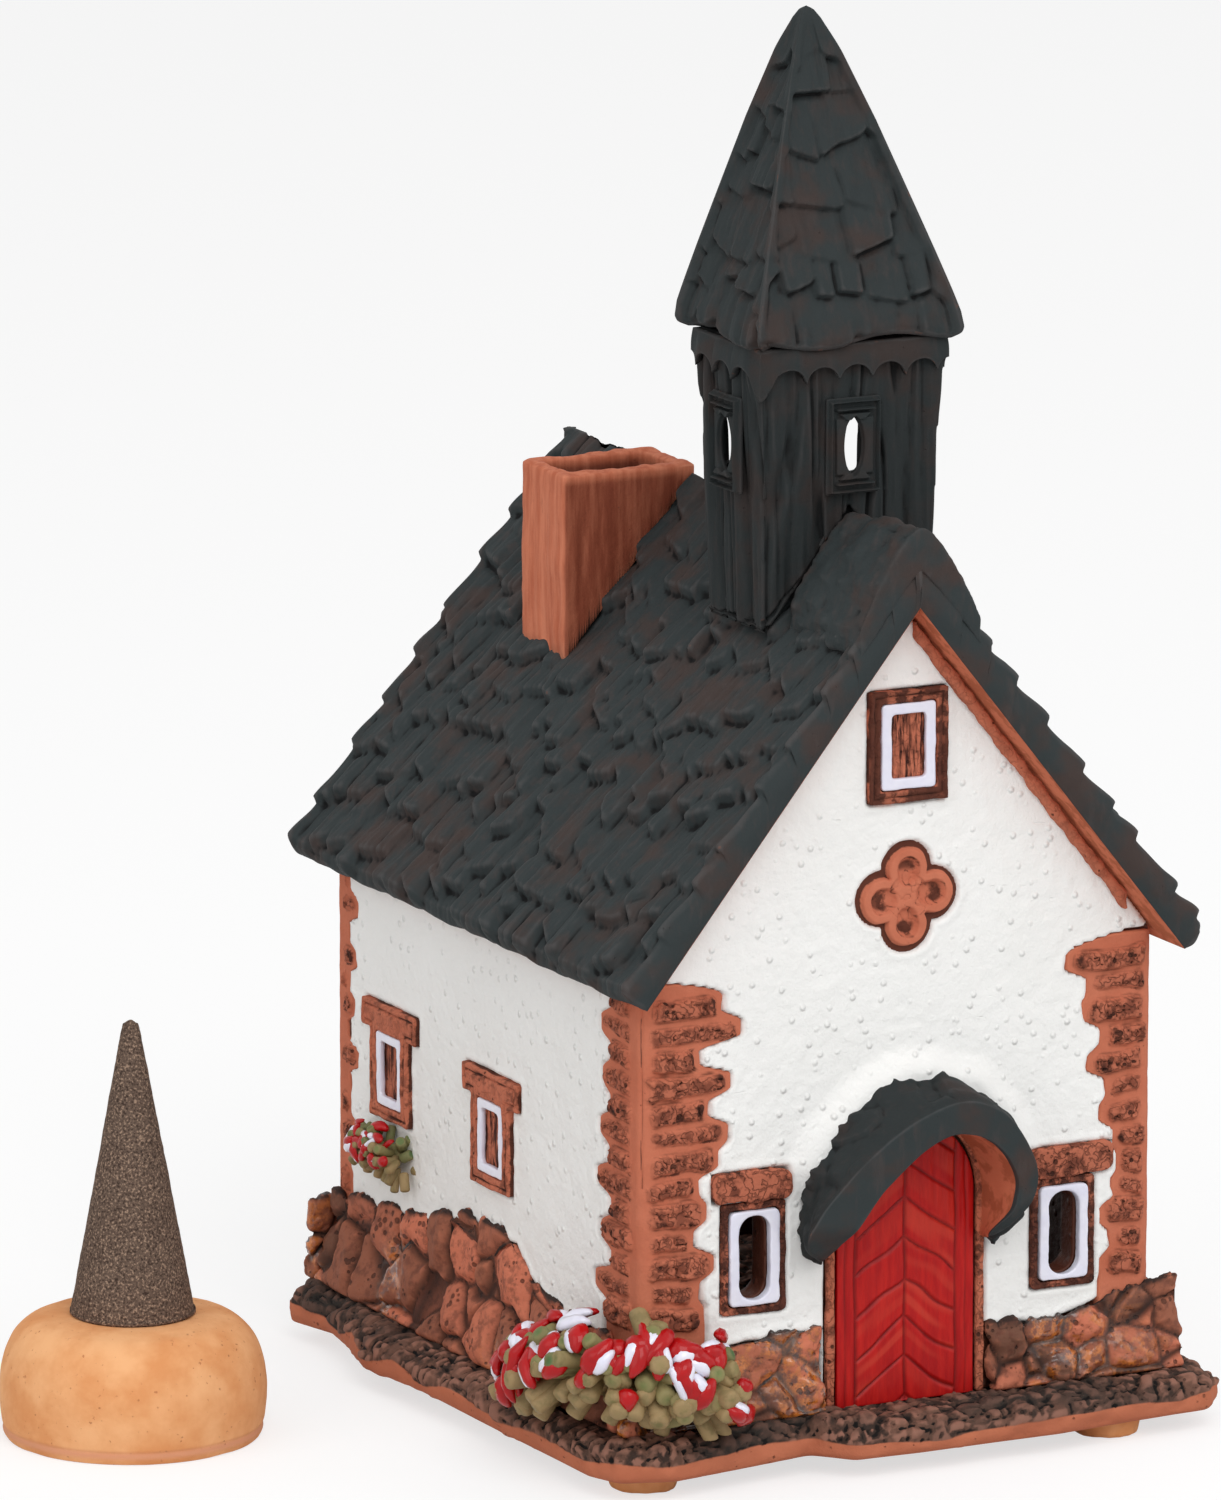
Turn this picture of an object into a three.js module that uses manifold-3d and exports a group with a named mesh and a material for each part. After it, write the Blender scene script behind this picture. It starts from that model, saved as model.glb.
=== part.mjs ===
import * as THREE from 'three';
import { mergeVertices } from 'three/addons/utils/BufferGeometryUtils.js';
import Module from 'manifold-3d';

// Ceramic incense house with its holder and cone, in millimetres, +Z up.
// The front gable faces -Y. Z is 0 on the table that the feet stand on.

// Joints between the clay pieces
const GAP = 0.3;

// Base slab and feet
const FOOT_HEIGHT = 2;
const FOOT_RADIUS = 3.9;
const FOOT_TAPER = 0.4;
const FEET = {
  front_left: [-29.4, -36], front_right: [24.5, -38], back_left: [-28, 31], back_right: [28, 31],
};
const RIM_HEIGHT = 2.4;
const FLOOR_Z = 6;
const RIM_BEVEL = 2.4;
const SLAB_OUTLINE = [
  [-36.7, -37.5], [-35.2, -41.6], [-29.5, -43.6], [-21, -42.2], [-12, -40.6], [-8.6, -44.6], [-1, -44.9],
  [8, -44.8], [16, -44.8], [27, -43.6], [34.8, -43], [37, -40], [36.4, -25], [37.3, -8], [36.4, 8],
  [37, 24], [36, 35], [33, 38.8], [20, 38.2], [7, 39.4], [-7, 38.4], [-20, 39.2], [-33, 38.4],
  [-36.8, 35], [-35.2, 28], [-36.6, 20], [-38.4, 12.6], [-37.3, 2], [-37.2, -14], [-36.9, -28],
];

// Walls
const WALL_X = 30;
const WALL_FRONT = 37;
const WALL_BACK = 35.5;
const WALL_THICK = 3.5;

// Rear doorway, where the holder goes in
const REAR_DOOR_HALF = 16.5;
const REAR_DOOR_SPRING = 36;

// Roof slabs
const ROOF_RUN = 34.8;
const ROOF_APEX = 98.2;
const EAVE_TOP = 54.8;
const ROOF_THICK = 4;
const RIDGE_FLAT_DROP = 1.2;
const SHINGLE_COURSES = 9;
const SHINGLE_STEP = 0.8;
const SHINGLE_WIDTH = 6.8;
const SHINGLE_SHORTER = 1.5;
const SHINGLE_LOWER = 0.35;
const SHINGLE_JOINT = 0.4;
const OVERHANG_FRONT = 4.5;
const OVERHANG_BACK = 4;

// Clay lump over the front end of the ridge
const RIDGE_LUMP_HALF = 8.2;
const RIDGE_LUMP_RISE = 3.9;
const RIDGE_LUMP_TAIL = 1.2;
const RIDGE_LUMP_FACE = 0.4;

// Beads of clay between gable walls and roof
const BEAD_HEIGHT = 1.2;
const BEAD_DEPTH = 1.4;
const BEAD_FROM = 1.2;
const BEAD_TO = 26.5;

// Chimney
const CHIMNEY_LEFT = -15.2;
const CHIMNEY_RIGHT = 0.5;
const CHIMNEY_FRONT = 10.5;
const CHIMNEY_BACK = 21.3;
const CHIMNEY_TOP = 98;
const CHIMNEY_WALL = 1.9;

// Bell tower
const TOWER_Y = -18.8;
const TOWER_HALF_X = 10.9;
const TOWER_HALF_Y = 7.6;
const TOWER_TOP = 117.4;
const TOWER_TAPER = 1.3;
const TOWER_WALL = 1.5;
const TOWER_BACK_SILL = 19.6;
const TOWER_BACK_HEAD = 6.4;
const TOWER_BACK_CORNER = 3;
const BOARD_GROOVE = 0.5;
const FRONT_BOARDS = 6;
const SIDE_BOARDS = 4;
const SLIT_WIDTH = 2.6;
const SLIT_HEIGHT = 6;
const SLIT_BELOW_TOP = 11;
const SLIT_FRAME_WIDTH = 6.2;
const SLIT_FRAME_HEIGHT = 10.2;
const SLIT_FRAME_DEPTH = 0.8;
const CORNICE_HEIGHT = 3.6;
const CORNICE_PROUD = 0.8;
const SCALLOP_DEPTH = 1.5;
const FRONT_SCALLOPS = 6;
const SIDE_SCALLOPS = 4;

// Spire
const SPIRE_EAVE_X = 0.8;
const SPIRE_EAVE_Y = 1.5;
const SPIRE_TIP = 151.8;
const SPIRE_LEAN = -1.5;
const SPIRE_BULGE = 0.16;
const SPIRE_COURSES = 7;
const SPIRE_STEP = 0.5;
const SPIRE_RIM = 1.2;
const SPIRE_TIP_HALF = 0.7;

// Door, its frame and the porch canopy
const DOOR_X = 0.65;
const DOOR_HALF = 8.4;
const DOOR_SPRING = 28.2;
const DOOR_THICK = 0.7;
const DOOR_FRAME_WIDTH = 0.9;
const DOOR_FRAME_DEPTH = 0.8;
const CANOPY_DEPTH = 7.4;
const CANOPY_THICK = 3.6;
const CANOPY_FRONT_SHRINK = 1.6;
const CANOPY_DROP = 1;
const CANOPY_CURL = 0.5;

// Plinth courses, each outline as [along the wall, height over the floor]
const PLINTH_FRONT_DEPTH = 2.4;
const PLINTH_SIDE_DEPTH = 3.6;
const PLINTH_TOP_DEPTH = 0.8;
const PLINTH_STONE = 8.2;
const PLINTH_BULGE = 0.5;
const PLINTH_SIDE = [
  [-35.5, 10], [-22, 11.6], [-13, 12.4], [-3.6, 14.8], [8.6, 14.8], [14.6, 10.3], [25.4, 9.6], [37, 9.2],
];
const PLINTH_FRONT_LEFT = [[0, 9.4], [12.4, 8.6], [20, 9.4], [24.6, 9.4]];
const PLINTH_FRONT_RIGHT = [[0, 7.3], [8.9, 7], [16.5, 9.6], [23, 10]];
const PLINTH_BACK = [[0, 8], [7, 9.6], [16.6, 9.2]];

// Corner stones, from the bottom up: the reach of each course along the gable wall and along the side
// wall, as shares of the longest stone
const QUOIN_OVER_PLINTH = 0.5;
const QUOIN_HEIGHT = 2.77;
const QUOIN_PROUD = 0.9;
const QUOIN_SHALLOW = 0.25;
const QUOIN_LONGEST = 10;
const QUOIN_FRONT_LEFT = [
  [0.66, 0.73], [0.59, 0.97], [0.76, 0.62], [0.53, 0.84], [0.68, 0.61], [0.59, 0.92], [0.82, 0.66],
  [0.94, 0.86], [0.71, 0.63], [0.96, 0.79], [0.59, 0.64], [1.09, 0.84], [0.86, 0.6],
];
const QUOIN_FRONT_RIGHT = [
  [0.53, 0.64], [0.42, 0.82], [0.54, 0.56], [0.39, 0.78], [0.34, 0.6], [0.39, 0.86], [0.54, 0.62],
  [0.48, 0.83], [0.7, 0.61], [0.54, 0.79], [0.76, 0.63], [0.7, 0.81], [0.94, 0.66],
];
const QUOIN_REAR = [
  [0.58, 0.35], [0.76, 0.26], [0.52, 0.49], [0.8, 0.3], [0.6, 0.24], [0.74, 0.49], [0.54, 0.19],
  [0.82, 0.42], [0.64, 0.26], [0.78, 0.46], [0.52, 0.24], [0.84, 0.48], [0.7, 0.3],
];

// Front windows, cut through, each as [centre, sill height]; a lintel runs from the canopy past its window
const FRONT_WINDOWS = { left: [-17.3, 17.6], right: [19.4, 16.2] };
const WINDOW_WIDTH = 7.6;
const WINDOW_HEIGHT = 12;
const SURROUND_WIDTH = 0.8;
const SURROUND_DEPTH = 0.8;
const FRAME_DEPTH = 1.1;
const FIT = 0.1;
const WINDOW_CORNER = 0.6;
const WINDOW_SLOT_ROUND = 0.45;
const WINDOW_SLOT_WIDTH = 3.6;
const WINDOW_SLOT_HEIGHT = 9;
const LINTEL_EAR = { left: 1, right: 2.2 };
const LINTEL_HEIGHT = 3.2;
const LINTEL_CORNER = 1;
const LINTEL_DEPTH = 1.2;

// Closed windows: gable and side walls, side ones as [distance from the front of the house, sill height]
const PANE_DEPTH = 0.4;
const PANE_CORNER = 0.4;
const GABLE_WINDOW = { x: 0.6, underBead: 0.4, width: 9.2, height: 12, rim: 1.3, rail: 1.3 };
const SIDE_WINDOW = { width: 9, height: 12.6, rim: 1.4, rail: 1.1, ear: 2, headHeight: 3 };
const SIDE_WINDOWS = { front: [3.3, 24.8], rear: [-21.2, 26.8] };

// Quatrefoil ornament, hung below the gable window
const FOIL_X = 0.7;
const FOIL_BELOW = 4.1;
const FOIL_RADIUS = 3;
const FOIL_OFFSET = 3.1;
const FOIL_DEPTH = 1;
const FOIL_RECESS = 0.5;
const FOIL_INNER_SHARE = 0.66;

// Flower bush at the front left corner, and flowers under the rear left window
const BUSH_STEMS = 18;
const BUSH_STEM_RADIUS = 1.9;
const BUSH_STEM_REACH = 4.2;
const BUSH_STEM_RISES = [0.9, 0.1, 1.8, -0.7];
const STEM_TAPER = 0.6;
const BUSH_BALLS = 7;
const BUSH_BALL_RADIUS = 4.4;
const BUSH_ROUTE = [
  [-35.6, -22, 9.5], [-35.6, -30, 11], [-34.2, -38.2, 14], [-29.6, -41, 13.5], [-22.4, -41.2, 10],
];
const FLOWERS_X = 23;
const FLOWERS_Z = 23.4;
const FLOWERS_HALF = 7.4;
const FLOWERS_DEPTH = 3.4;
const FLOWERS_STEMS = 10;
const FLOWERS_STEM_RADIUS = 1.3;
const FLOWERS_LIFTS = [0.75, -1, 0.2];

// Holder and cone
const HOLDER_X = -67.7;
const HOLDER_Y = 7.7;
const HOLDER_RADIUS = 14.2;
const HOLDER_HEIGHT = 13;
const HOLDER_SEAT = 9;
const HOLDER_FOOT = 13.2;
const CONE_RADIUS = 6.65;
const CONE_HEIGHT = 31.8;
const CONE_TIP = 0.7;
const EDGE_ROUND = 0.6;

// The whole set is centred on its bounding box
const REACH_LEFT = HOLDER_RADIUS - HOLDER_X;
const REACH_RIGHT = Math.max(...SLAB_OUTLINE.map(([x]) => x));
const REACH_FRONT = -Math.min(...SLAB_OUTLINE.map(([, y]) => y));
const REACH_BACK = WALL_BACK + OVERHANG_BACK;
const SET_X = (REACH_LEFT - REACH_RIGHT) / 2;
const SET_Y = (REACH_FRONT - REACH_BACK) / 2;

const PITCH = Math.atan2(ROOF_APEX - EAVE_TOP, ROOF_RUN);
const roofTop = (x) => ROOF_APEX - Math.tan(PITCH) * Math.abs(x);
const roofUnder = (x) => roofTop(x) - ROOF_THICK / Math.cos(PITCH);
const wallTop = (x) => roofUnder(x) - GAP / Math.cos(PITCH);
const PLINTH_ENDS = [PLINTH_SIDE[0], PLINTH_SIDE.at(-1), PLINTH_FRONT_LEFT[0], PLINTH_FRONT_RIGHT.at(-1)];
const QUOIN_BOTTOM = FLOOR_Z + QUOIN_OVER_PLINTH + Math.max(...PLINTH_ENDS.map(([, height]) => height));
const RIDGE_TOP = ROOF_APEX - RIDGE_FLAT_DROP;
const RIDGE_FLAT = RIDGE_FLAT_DROP / Math.tan(PITCH);
const RIDGE_LUMP_TOP = RIDGE_TOP + RIDGE_LUMP_RISE;
const SPIRE_HALF_X = TOWER_HALF_X + SPIRE_EAVE_X;
const SPIRE_HALF_Y = TOWER_HALF_Y + SPIRE_EAVE_Y;
const SLIT_Z = TOWER_TOP - SLIT_BELOW_TOP;
const BEAD_DROP = BEAD_HEIGHT / Math.cos(PITCH);
const GABLE_WINDOW_REACH = Math.abs(GABLE_WINDOW.x) + GABLE_WINDOW.width / 2;
const GABLE_SILL = wallTop(GABLE_WINDOW_REACH) - BEAD_DROP - GABLE_WINDOW.underBead - GABLE_WINDOW.height;
const FOIL_Z = GABLE_SILL - FOIL_BELOW - FOIL_OFFSET - FOIL_RADIUS;
const DOOR_EDGE = DOOR_HALF + DOOR_FRAME_WIDTH;
const CANOPY_INNER = DOOR_EDGE + GAP * 1.5;

const finish = (color, roughness) => new THREE.MeshStandardMaterial({ color, roughness, metalness: 0 });
const terracotta = finish(0xc46e4e, 0.85);
const charcoal = finish(0x3a3c3e, 0.75);
const limewash = finish(0xe9e8df, 0.55);
const redGlaze = finish(0xb82a1e, 0.45);
const whiteGlaze = finish(0xe6e4ee, 0.2);
const mossGreen = finish(0x6e7846, 0.6);
const paleClay = finish(0xe19b69, 0.85);
const coneBrown = finish(0x5a4638, 0.95);
const warmClay = finish(0xc4673f, 0.8);

const wasm = await Module();
wasm.setup();

function solid(geometry) {
  const bare = geometry.index ? geometry.toNonIndexed() : geometry.clone();
  bare.deleteAttribute('normal');
  bare.deleteAttribute('uv');
  const merged = mergeVertices(bare, 1e-4);
  return new wasm.Manifold(new wasm.Mesh({
    numProp: 3,
    vertProperties: merged.attributes.position.array,
    triVerts: new Uint32Array(merged.index.array),
  }));
}

function geometryOf(body) {
  const mesh = body.getMesh();
  const geometry = new THREE.BufferGeometry();
  geometry.setAttribute('position', new THREE.BufferAttribute(mesh.vertProperties, 3));
  geometry.setIndex(new THREE.BufferAttribute(mesh.triVerts, 1));
  return geometry;
}

const join = (geometries) => geometryOf(geometries.map(solid).reduce((all, one) => all.add(one)));
// The one body of a clump, without crumbs cut off it or pockets closed up inside it
const lump = (geometry) => {
  const bodies = solid(geometry).decompose();
  return geometryOf(bodies.sort((a, b) => b.volume() - a.volume())[0]);
};
const cut = (geometry, cutters) => geometryOf(
  cutters.map(solid).reduce((left, one) => left.subtract(one), solid(geometry)));

function part(name, geometry, material) {
  const mesh = new THREE.Mesh(geometry, material);
  mesh.name = name;
  return mesh;
}

// Outlines are drawn as [right, up] seen from outside a wall, and pushed out towards the viewer, at -Y
const FACING = new THREE.Matrix4().makeBasis(
  new THREE.Vector3(1, 0, 0), new THREE.Vector3(0, 0, 1), new THREE.Vector3(0, -1, 0));

const shapeOf = (points) => new THREE.Shape(points.map(([u, v]) => new THREE.Vector2(u, v)));

function plate(shape, depth, segments = 10) {
  const geometry = new THREE.ExtrudeGeometry(shape, { depth, bevelEnabled: false, curveSegments: segments });
  return geometry.applyMatrix4(FACING);
}

// A bar whose [x, z] section runs along Y from one place to another
const barAlongY = (section, from, to) => plate(shapeOf(section), to - from).translate(0, to, 0);

function box(x0, x1, y0, y1, z0, z1) {
  const geometry = new THREE.BoxGeometry(x1 - x0, y1 - y0, z1 - z0);
  return geometry.translate((x0 + x1) / 2, (y0 + y1) / 2, (z0 + z1) / 2);
}

function rectangle(shape, x, bottom, width, height, corner) {
  const left = x - width / 2;
  const top = bottom + height;
  shape.moveTo(left + corner, bottom);
  shape.lineTo(left + width - corner, bottom);
  shape.absarc(left + width - corner, bottom + corner, corner, -Math.PI / 2, 0);
  shape.absarc(left + width - corner, top - corner, corner, 0, Math.PI / 2);
  shape.absarc(left + corner, top - corner, corner, Math.PI / 2, Math.PI);
  shape.absarc(left + corner, bottom + corner, corner, Math.PI, Math.PI * 1.5);
  return shape;
}

function arch(shape, x, bottom, half, spring) {
  shape.moveTo(x - half, bottom);
  shape.lineTo(x + half, bottom);
  shape.absarc(x, spring, half, 0, Math.PI);
  shape.lineTo(x - half, bottom);
  return shape;
}

// Skins a closed body over rings with the same number of points; the ends are capped, or joined for a frame
function skin(drawn, closedLoop = false) {
  const clockwise = !closedLoop && THREE.ShapeUtils.area(drawn[0]) < 0;
  const rings = clockwise ? drawn.map((ring) => [...ring].reverse()) : drawn;
  const count = rings[0].length;
  const vertices = rings.flat().flatMap((point) => [point.x, point.y, point.z]);
  const faces = [];
  const last = closedLoop ? rings.length : rings.length - 1;
  for (let ring = 0; ring < last; ring += 1) {
    const low = ring * count;
    const high = ((ring + 1) % rings.length) * count;
    for (let i = 0; i < count; i += 1) {
      const next = (i + 1) % count;
      faces.push(low + i, low + next, high + next, low + i, high + next, high + i);
    }
  }
  if (!closedLoop) {
    const flat = (ring) => ring.map((p) => new THREE.Vector2(p.x, p.y));
    const cap = (ring) => THREE.ShapeUtils.triangulateShape(flat(ring), []);
    const top = (rings.length - 1) * count;
    cap(rings[0]).forEach(([a, b, c]) => faces.push(a, c, b));
    cap(rings.at(-1)).forEach(([a, b, c]) => faces.push(top + a, top + b, top + c));
  }
  const geometry = new THREE.BufferGeometry();
  geometry.setAttribute('position', new THREE.Float32BufferAttribute(vertices, 3));
  geometry.setIndex(faces);
  return geometry;
}

const ringAt = (points, z, inset = 0) => points.map(([x, y]) => {
  const shrink = 1 - inset / Math.hypot(x, y);
  return new THREE.Vector3(x * shrink, y * shrink, z);
});

const corners = (x, y) => [[-x, -y], [x, -y], [x, y], [-x, y]];

function baseSlab() {
  const rimTop = FOOT_HEIGHT + RIM_HEIGHT;
  const rings = [
    ringAt(SLAB_OUTLINE, FOOT_HEIGHT, RIM_BEVEL / 3),
    ringAt(SLAB_OUTLINE, FOOT_HEIGHT + RIM_HEIGHT / 4),
    ringAt(SLAB_OUTLINE, rimTop),
    ringAt(SLAB_OUTLINE, (rimTop + FLOOR_Z) / 2, RIM_BEVEL / 3),
    ringAt(SLAB_OUTLINE, FLOOR_Z, RIM_BEVEL),
  ];
  return part('base_slab', skin(rings), terracotta);
}

function feet() {
  return Object.entries(FEET).map(([place, [x, y]]) => {
    const pad = new THREE.CylinderGeometry(FOOT_RADIUS, FOOT_RADIUS - FOOT_TAPER, FOOT_HEIGHT, 16);
    const foot = part(`foot_${place}`, pad.rotateX(Math.PI / 2), paleClay);
    foot.position.set(x, y, FOOT_HEIGHT / 2);
    return foot;
  });
}

// Gable outline up to the joint under the roof slabs
const gableShape = () => shapeOf([
  [-WALL_X, FLOOR_Z], [WALL_X, FLOOR_Z], [WALL_X, wallTop(WALL_X)],
  [0, wallTop(0)], [-WALL_X, wallTop(WALL_X)],
]);

function slotShape([x, sill]) {
  const bottom = sill + (WINDOW_HEIGHT - WINDOW_SLOT_HEIGHT) / 2;
  const corner = WINDOW_SLOT_WIDTH * WINDOW_SLOT_ROUND;
  return rectangle(new THREE.Path(), x, bottom, WINDOW_SLOT_WIDTH, WINDOW_SLOT_HEIGHT, corner);
}

function frontWall() {
  const shape = gableShape();
  Object.values(FRONT_WINDOWS).forEach((window) => shape.holes.push(slotShape(window)));
  return part('front_wall', plate(shape, WALL_THICK, 3).translate(0, WALL_THICK, 0), limewash);
}

function backWall() {
  const shape = gableShape();
  const opening = arch(new THREE.Shape(), 0, FLOOR_Z - WALL_THICK, REAR_DOOR_HALF, REAR_DOOR_SPRING);
  const doorway = plate(opening, WALL_THICK * 2, 16).translate(0, WALL_THICK * 1.5, 0);
  const wall = plate(shape, WALL_THICK).translate(0, WALL_THICK, 0);
  return part('back_wall', cut(wall, [doorway]), limewash);
}

function sideWall(name, side) {
  const inner = WALL_X - WALL_THICK;
  const section = [[inner, FLOOR_Z], [WALL_X, FLOOR_Z], [WALL_X, wallTop(WALL_X)], [inner, wallTop(inner)]];
  const line = section.map(([x, z]) => [side * x, z]);
  return part(name, barAlongY(line, WALL_THICK - WALL_FRONT, WALL_BACK - WALL_THICK), limewash);
}

// Half of the roof as a sawtooth section through one column of shingles: each stands proud of the next one
// below it, and every other one is shorter and lies lower
function roofSection(side, y, column) {
  const length = Math.hypot(ROOF_RUN, ROOF_APEX - EAVE_TOP);
  const start = RIDGE_FLAT / Math.cos(PITCH);
  const course = (length - start) / SHINGLE_COURSES;
  const spot = (x, z) => new THREE.Vector3(side * x, y, z);
  const at = (along, sunk) => spot(
    along * Math.cos(PITCH) - sunk * Math.sin(PITCH),
    ROOF_APEX - along * Math.sin(PITCH) - sunk * Math.cos(PITCH),
  );
  const ends = Array.from({ length: SHINGLE_COURSES }, (_, i) => {
    const short = (column + i) % 2;
    return { along: start + course * (i + 1) - short * SHINGLE_SHORTER, sunk: short * SHINGLE_LOWER };
  });
  const points = [spot(0, roofUnder(0)), spot(0, RIDGE_TOP), at(start, 0)];
  ends.forEach(({ along, sunk }, i) => {
    points.push(at(along, sunk));
    const next = ends[i + 1];
    if (next) points.push(at(along, next.sunk + ((next.along - along) / course) * SHINGLE_STEP));
  });
  return [...points, at(length, ROOF_THICK)];
}

function roof(name, side) {
  const front = -WALL_FRONT - OVERHANG_FRONT;
  const back = WALL_BACK + OVERHANG_BACK;
  const columns = Math.round((back - front) / SHINGLE_WIDTH);
  const width = (back - front) / columns;
  const slab = skinAlongY(Array.from({ length: columns }, (_, column) => {
    const from = front + width * column + (column > 0 ? SHINGLE_JOINT / 2 : 0);
    const to = front + width * (column + 1) - (column < columns - 1 ? SHINGLE_JOINT / 2 : 0);
    return [roofSection(side, from, column), roofSection(side, to, column)];
  }).flat());
  if (side > 0) return part(name, slab, charcoal);
  return part(name, cut(slab, [flue(roofUnder(CHIMNEY_LEFT) - ROOF_THICK)]), charcoal);
}

// The shaft inside the chimney, down from its mouth to a given height; it stops short of the ridge seam
function flue(bottom) {
  const right = Math.min(CHIMNEY_RIGHT - CHIMNEY_WALL, -RIDGE_FLAT);
  return box(CHIMNEY_LEFT + CHIMNEY_WALL, right, CHIMNEY_FRONT + CHIMNEY_WALL, CHIMNEY_BACK - CHIMNEY_WALL,
    bottom, CHIMNEY_TOP + CHIMNEY_WALL);
}

// Everything under the shingles' outer plane, with the joint on top, between two places along Y
function underRoof(from, to) {
  const lift = GAP / Math.cos(PITCH);
  const deep = roofUnder(ROOF_RUN) - ROOF_THICK * 2;
  const eave = EAVE_TOP + lift;
  const ridge = RIDGE_TOP + lift;
  const half = [[ROOF_RUN, deep], [ROOF_RUN, eave], [RIDGE_FLAT, ridge]];
  const other = half.map(([x, z]) => [-x, z]).reverse();
  return barAlongY([...half, ...other], from, to);
}

function chimney() {
  const foot = roofTop(CHIMNEY_LEFT) - ROOF_THICK;
  const block = box(CHIMNEY_LEFT, CHIMNEY_RIGHT, CHIMNEY_FRONT, CHIMNEY_BACK, foot, CHIMNEY_TOP);
  const below = underRoof(CHIMNEY_FRONT - CHIMNEY_WALL, CHIMNEY_BACK + CHIMNEY_WALL);
  return part('chimney', cut(block, [below, flue(foot - ROOF_THICK)]), warmClay);
}

function ridgeLump() {
  const lift = GAP / Math.cos(PITCH);
  const front = -WALL_FRONT - OVERHANG_FRONT;
  const back = TOWER_Y - TOWER_HALF_Y - CORNICE_PROUD;
  const steps = 8;
  const section = (y, top) => {
    const crest = Array.from({ length: steps + 1 }, (_, i) => {
      const x = RIDGE_LUMP_HALF * (1 - (2 * i) / steps);
      const edge = roofTop(RIDGE_LUMP_HALF) + lift * 2;
      return new THREE.Vector3(x, y, edge + (top - edge) * (1 - (x / RIDGE_LUMP_HALF) ** 2));
    });
    const seat = [-RIDGE_LUMP_HALF, -RIDGE_FLAT, RIDGE_FLAT, RIDGE_LUMP_HALF].map((x) => (
      new THREE.Vector3(x, y, Math.min(roofTop(x), RIDGE_TOP) + lift)));
    return [...crest, ...seat];
  };
  const rings = [
    section(front, RIDGE_LUMP_TOP - RIDGE_LUMP_FACE), section((front * 2 + back) / 3, RIDGE_LUMP_TOP),
    section(back, RIDGE_LUMP_TOP - RIDGE_LUMP_TAIL),
  ];
  return part('ridge_lump', skinAlongY(rings), charcoal);
}

// A skin whose end caps stand across Y
function skinAlongY(rings) {
  const turned = rings.map((ring) => ring.map((p) => new THREE.Vector3(p.x, -p.z, p.y)));
  return skin(turned).applyMatrix4(new THREE.Matrix4().makeRotationX(-Math.PI / 2));
}

function bead(name, side) {
  const line = [[BEAD_FROM, wallTop(BEAD_FROM)], [BEAD_FROM, wallTop(BEAD_FROM) - BEAD_DROP],
    [BEAD_TO, wallTop(BEAD_TO) - BEAD_DROP], [BEAD_TO, wallTop(BEAD_TO)]];
  return part(name, plate(shapeOf(line.map(([x, z]) => [side * x, z])), BEAD_DEPTH), terracotta);
}

// Half width and half depth of the tower at a height; it is wider towards the top
function towerHalves(z) {
  const share = (TOWER_TOP - z) / (TOWER_TOP - roofTop(TOWER_HALF_X));
  return [TOWER_HALF_X - TOWER_TAPER * share, TOWER_HALF_Y - TOWER_TAPER * share];
}

// Tower section with a groove between the boards
function towerRing(z) {
  const [halfX, halfY] = towerHalves(z);
  const along = (half, other, boards, place) => {
    const points = [place(-half, -other)];
    for (let board = 1; board < boards; board += 1) {
      const middle = half * ((2 * board) / boards - 1);
      points.push(place(middle - BOARD_GROOVE, -other), place(middle, BOARD_GROOVE - other));
      points.push(place(middle + BOARD_GROOVE, -other));
    }
    return points;
  };
  return [
    ...along(halfX, halfY, FRONT_BOARDS, (u, v) => new THREE.Vector3(u, v, z)),
    ...along(halfY, halfX, SIDE_BOARDS, (u, v) => new THREE.Vector3(-v, u, z)),
    ...along(halfX, halfY, FRONT_BOARDS, (u, v) => new THREE.Vector3(-u, -v, z)),
    ...along(halfY, halfX, SIDE_BOARDS, (u, v) => new THREE.Vector3(v, -u, z)),
  ];
}

// The wide opening at the back of the tower, as broad as its hollow
function towerBackOpening() {
  const sill = TOWER_TOP - TOWER_BACK_SILL;
  const height = TOWER_BACK_SILL - TOWER_BACK_HEAD;
  const width = (towerHalves(sill)[0] - TOWER_WALL) * 2;
  const opening = rectangle(new THREE.Shape(), 0, sill, width, height, TOWER_BACK_CORNER);
  return plate(opening, TOWER_HALF_Y * 2, 3).translate(0, TOWER_HALF_Y * 2, 0);
}

// The tower is a shell astride the roof, with a slit in three of its faces
function towerBody() {
  const foot = roofTop(TOWER_HALF_X) - ROOF_THICK;
  const hollow = skin([foot - TOWER_WALL, TOWER_TOP + TOWER_WALL].map((z) => {
    const [halfX, halfY] = towerHalves(z);
    return ringAt(corners(halfX - TOWER_WALL, halfY - TOWER_WALL), z);
  }));
  const slit = SLIT_HEIGHT / 2;
  const width = SLIT_WIDTH / 2;
  const past = TOWER_HALF_X * 2;
  const through = [
    box(-width, width, -past, 0, SLIT_Z - slit, SLIT_Z + slit),
    box(-past, past, -width, width, SLIT_Z - slit, SLIT_Z + slit),
    towerBackOpening(),
  ];
  const boards = skin([towerRing(foot), towerRing(TOWER_TOP)]);
  return part('tower_body', cut(boards, [hollow, underRoof(-past, past), ...through]), charcoal);
}

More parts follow.
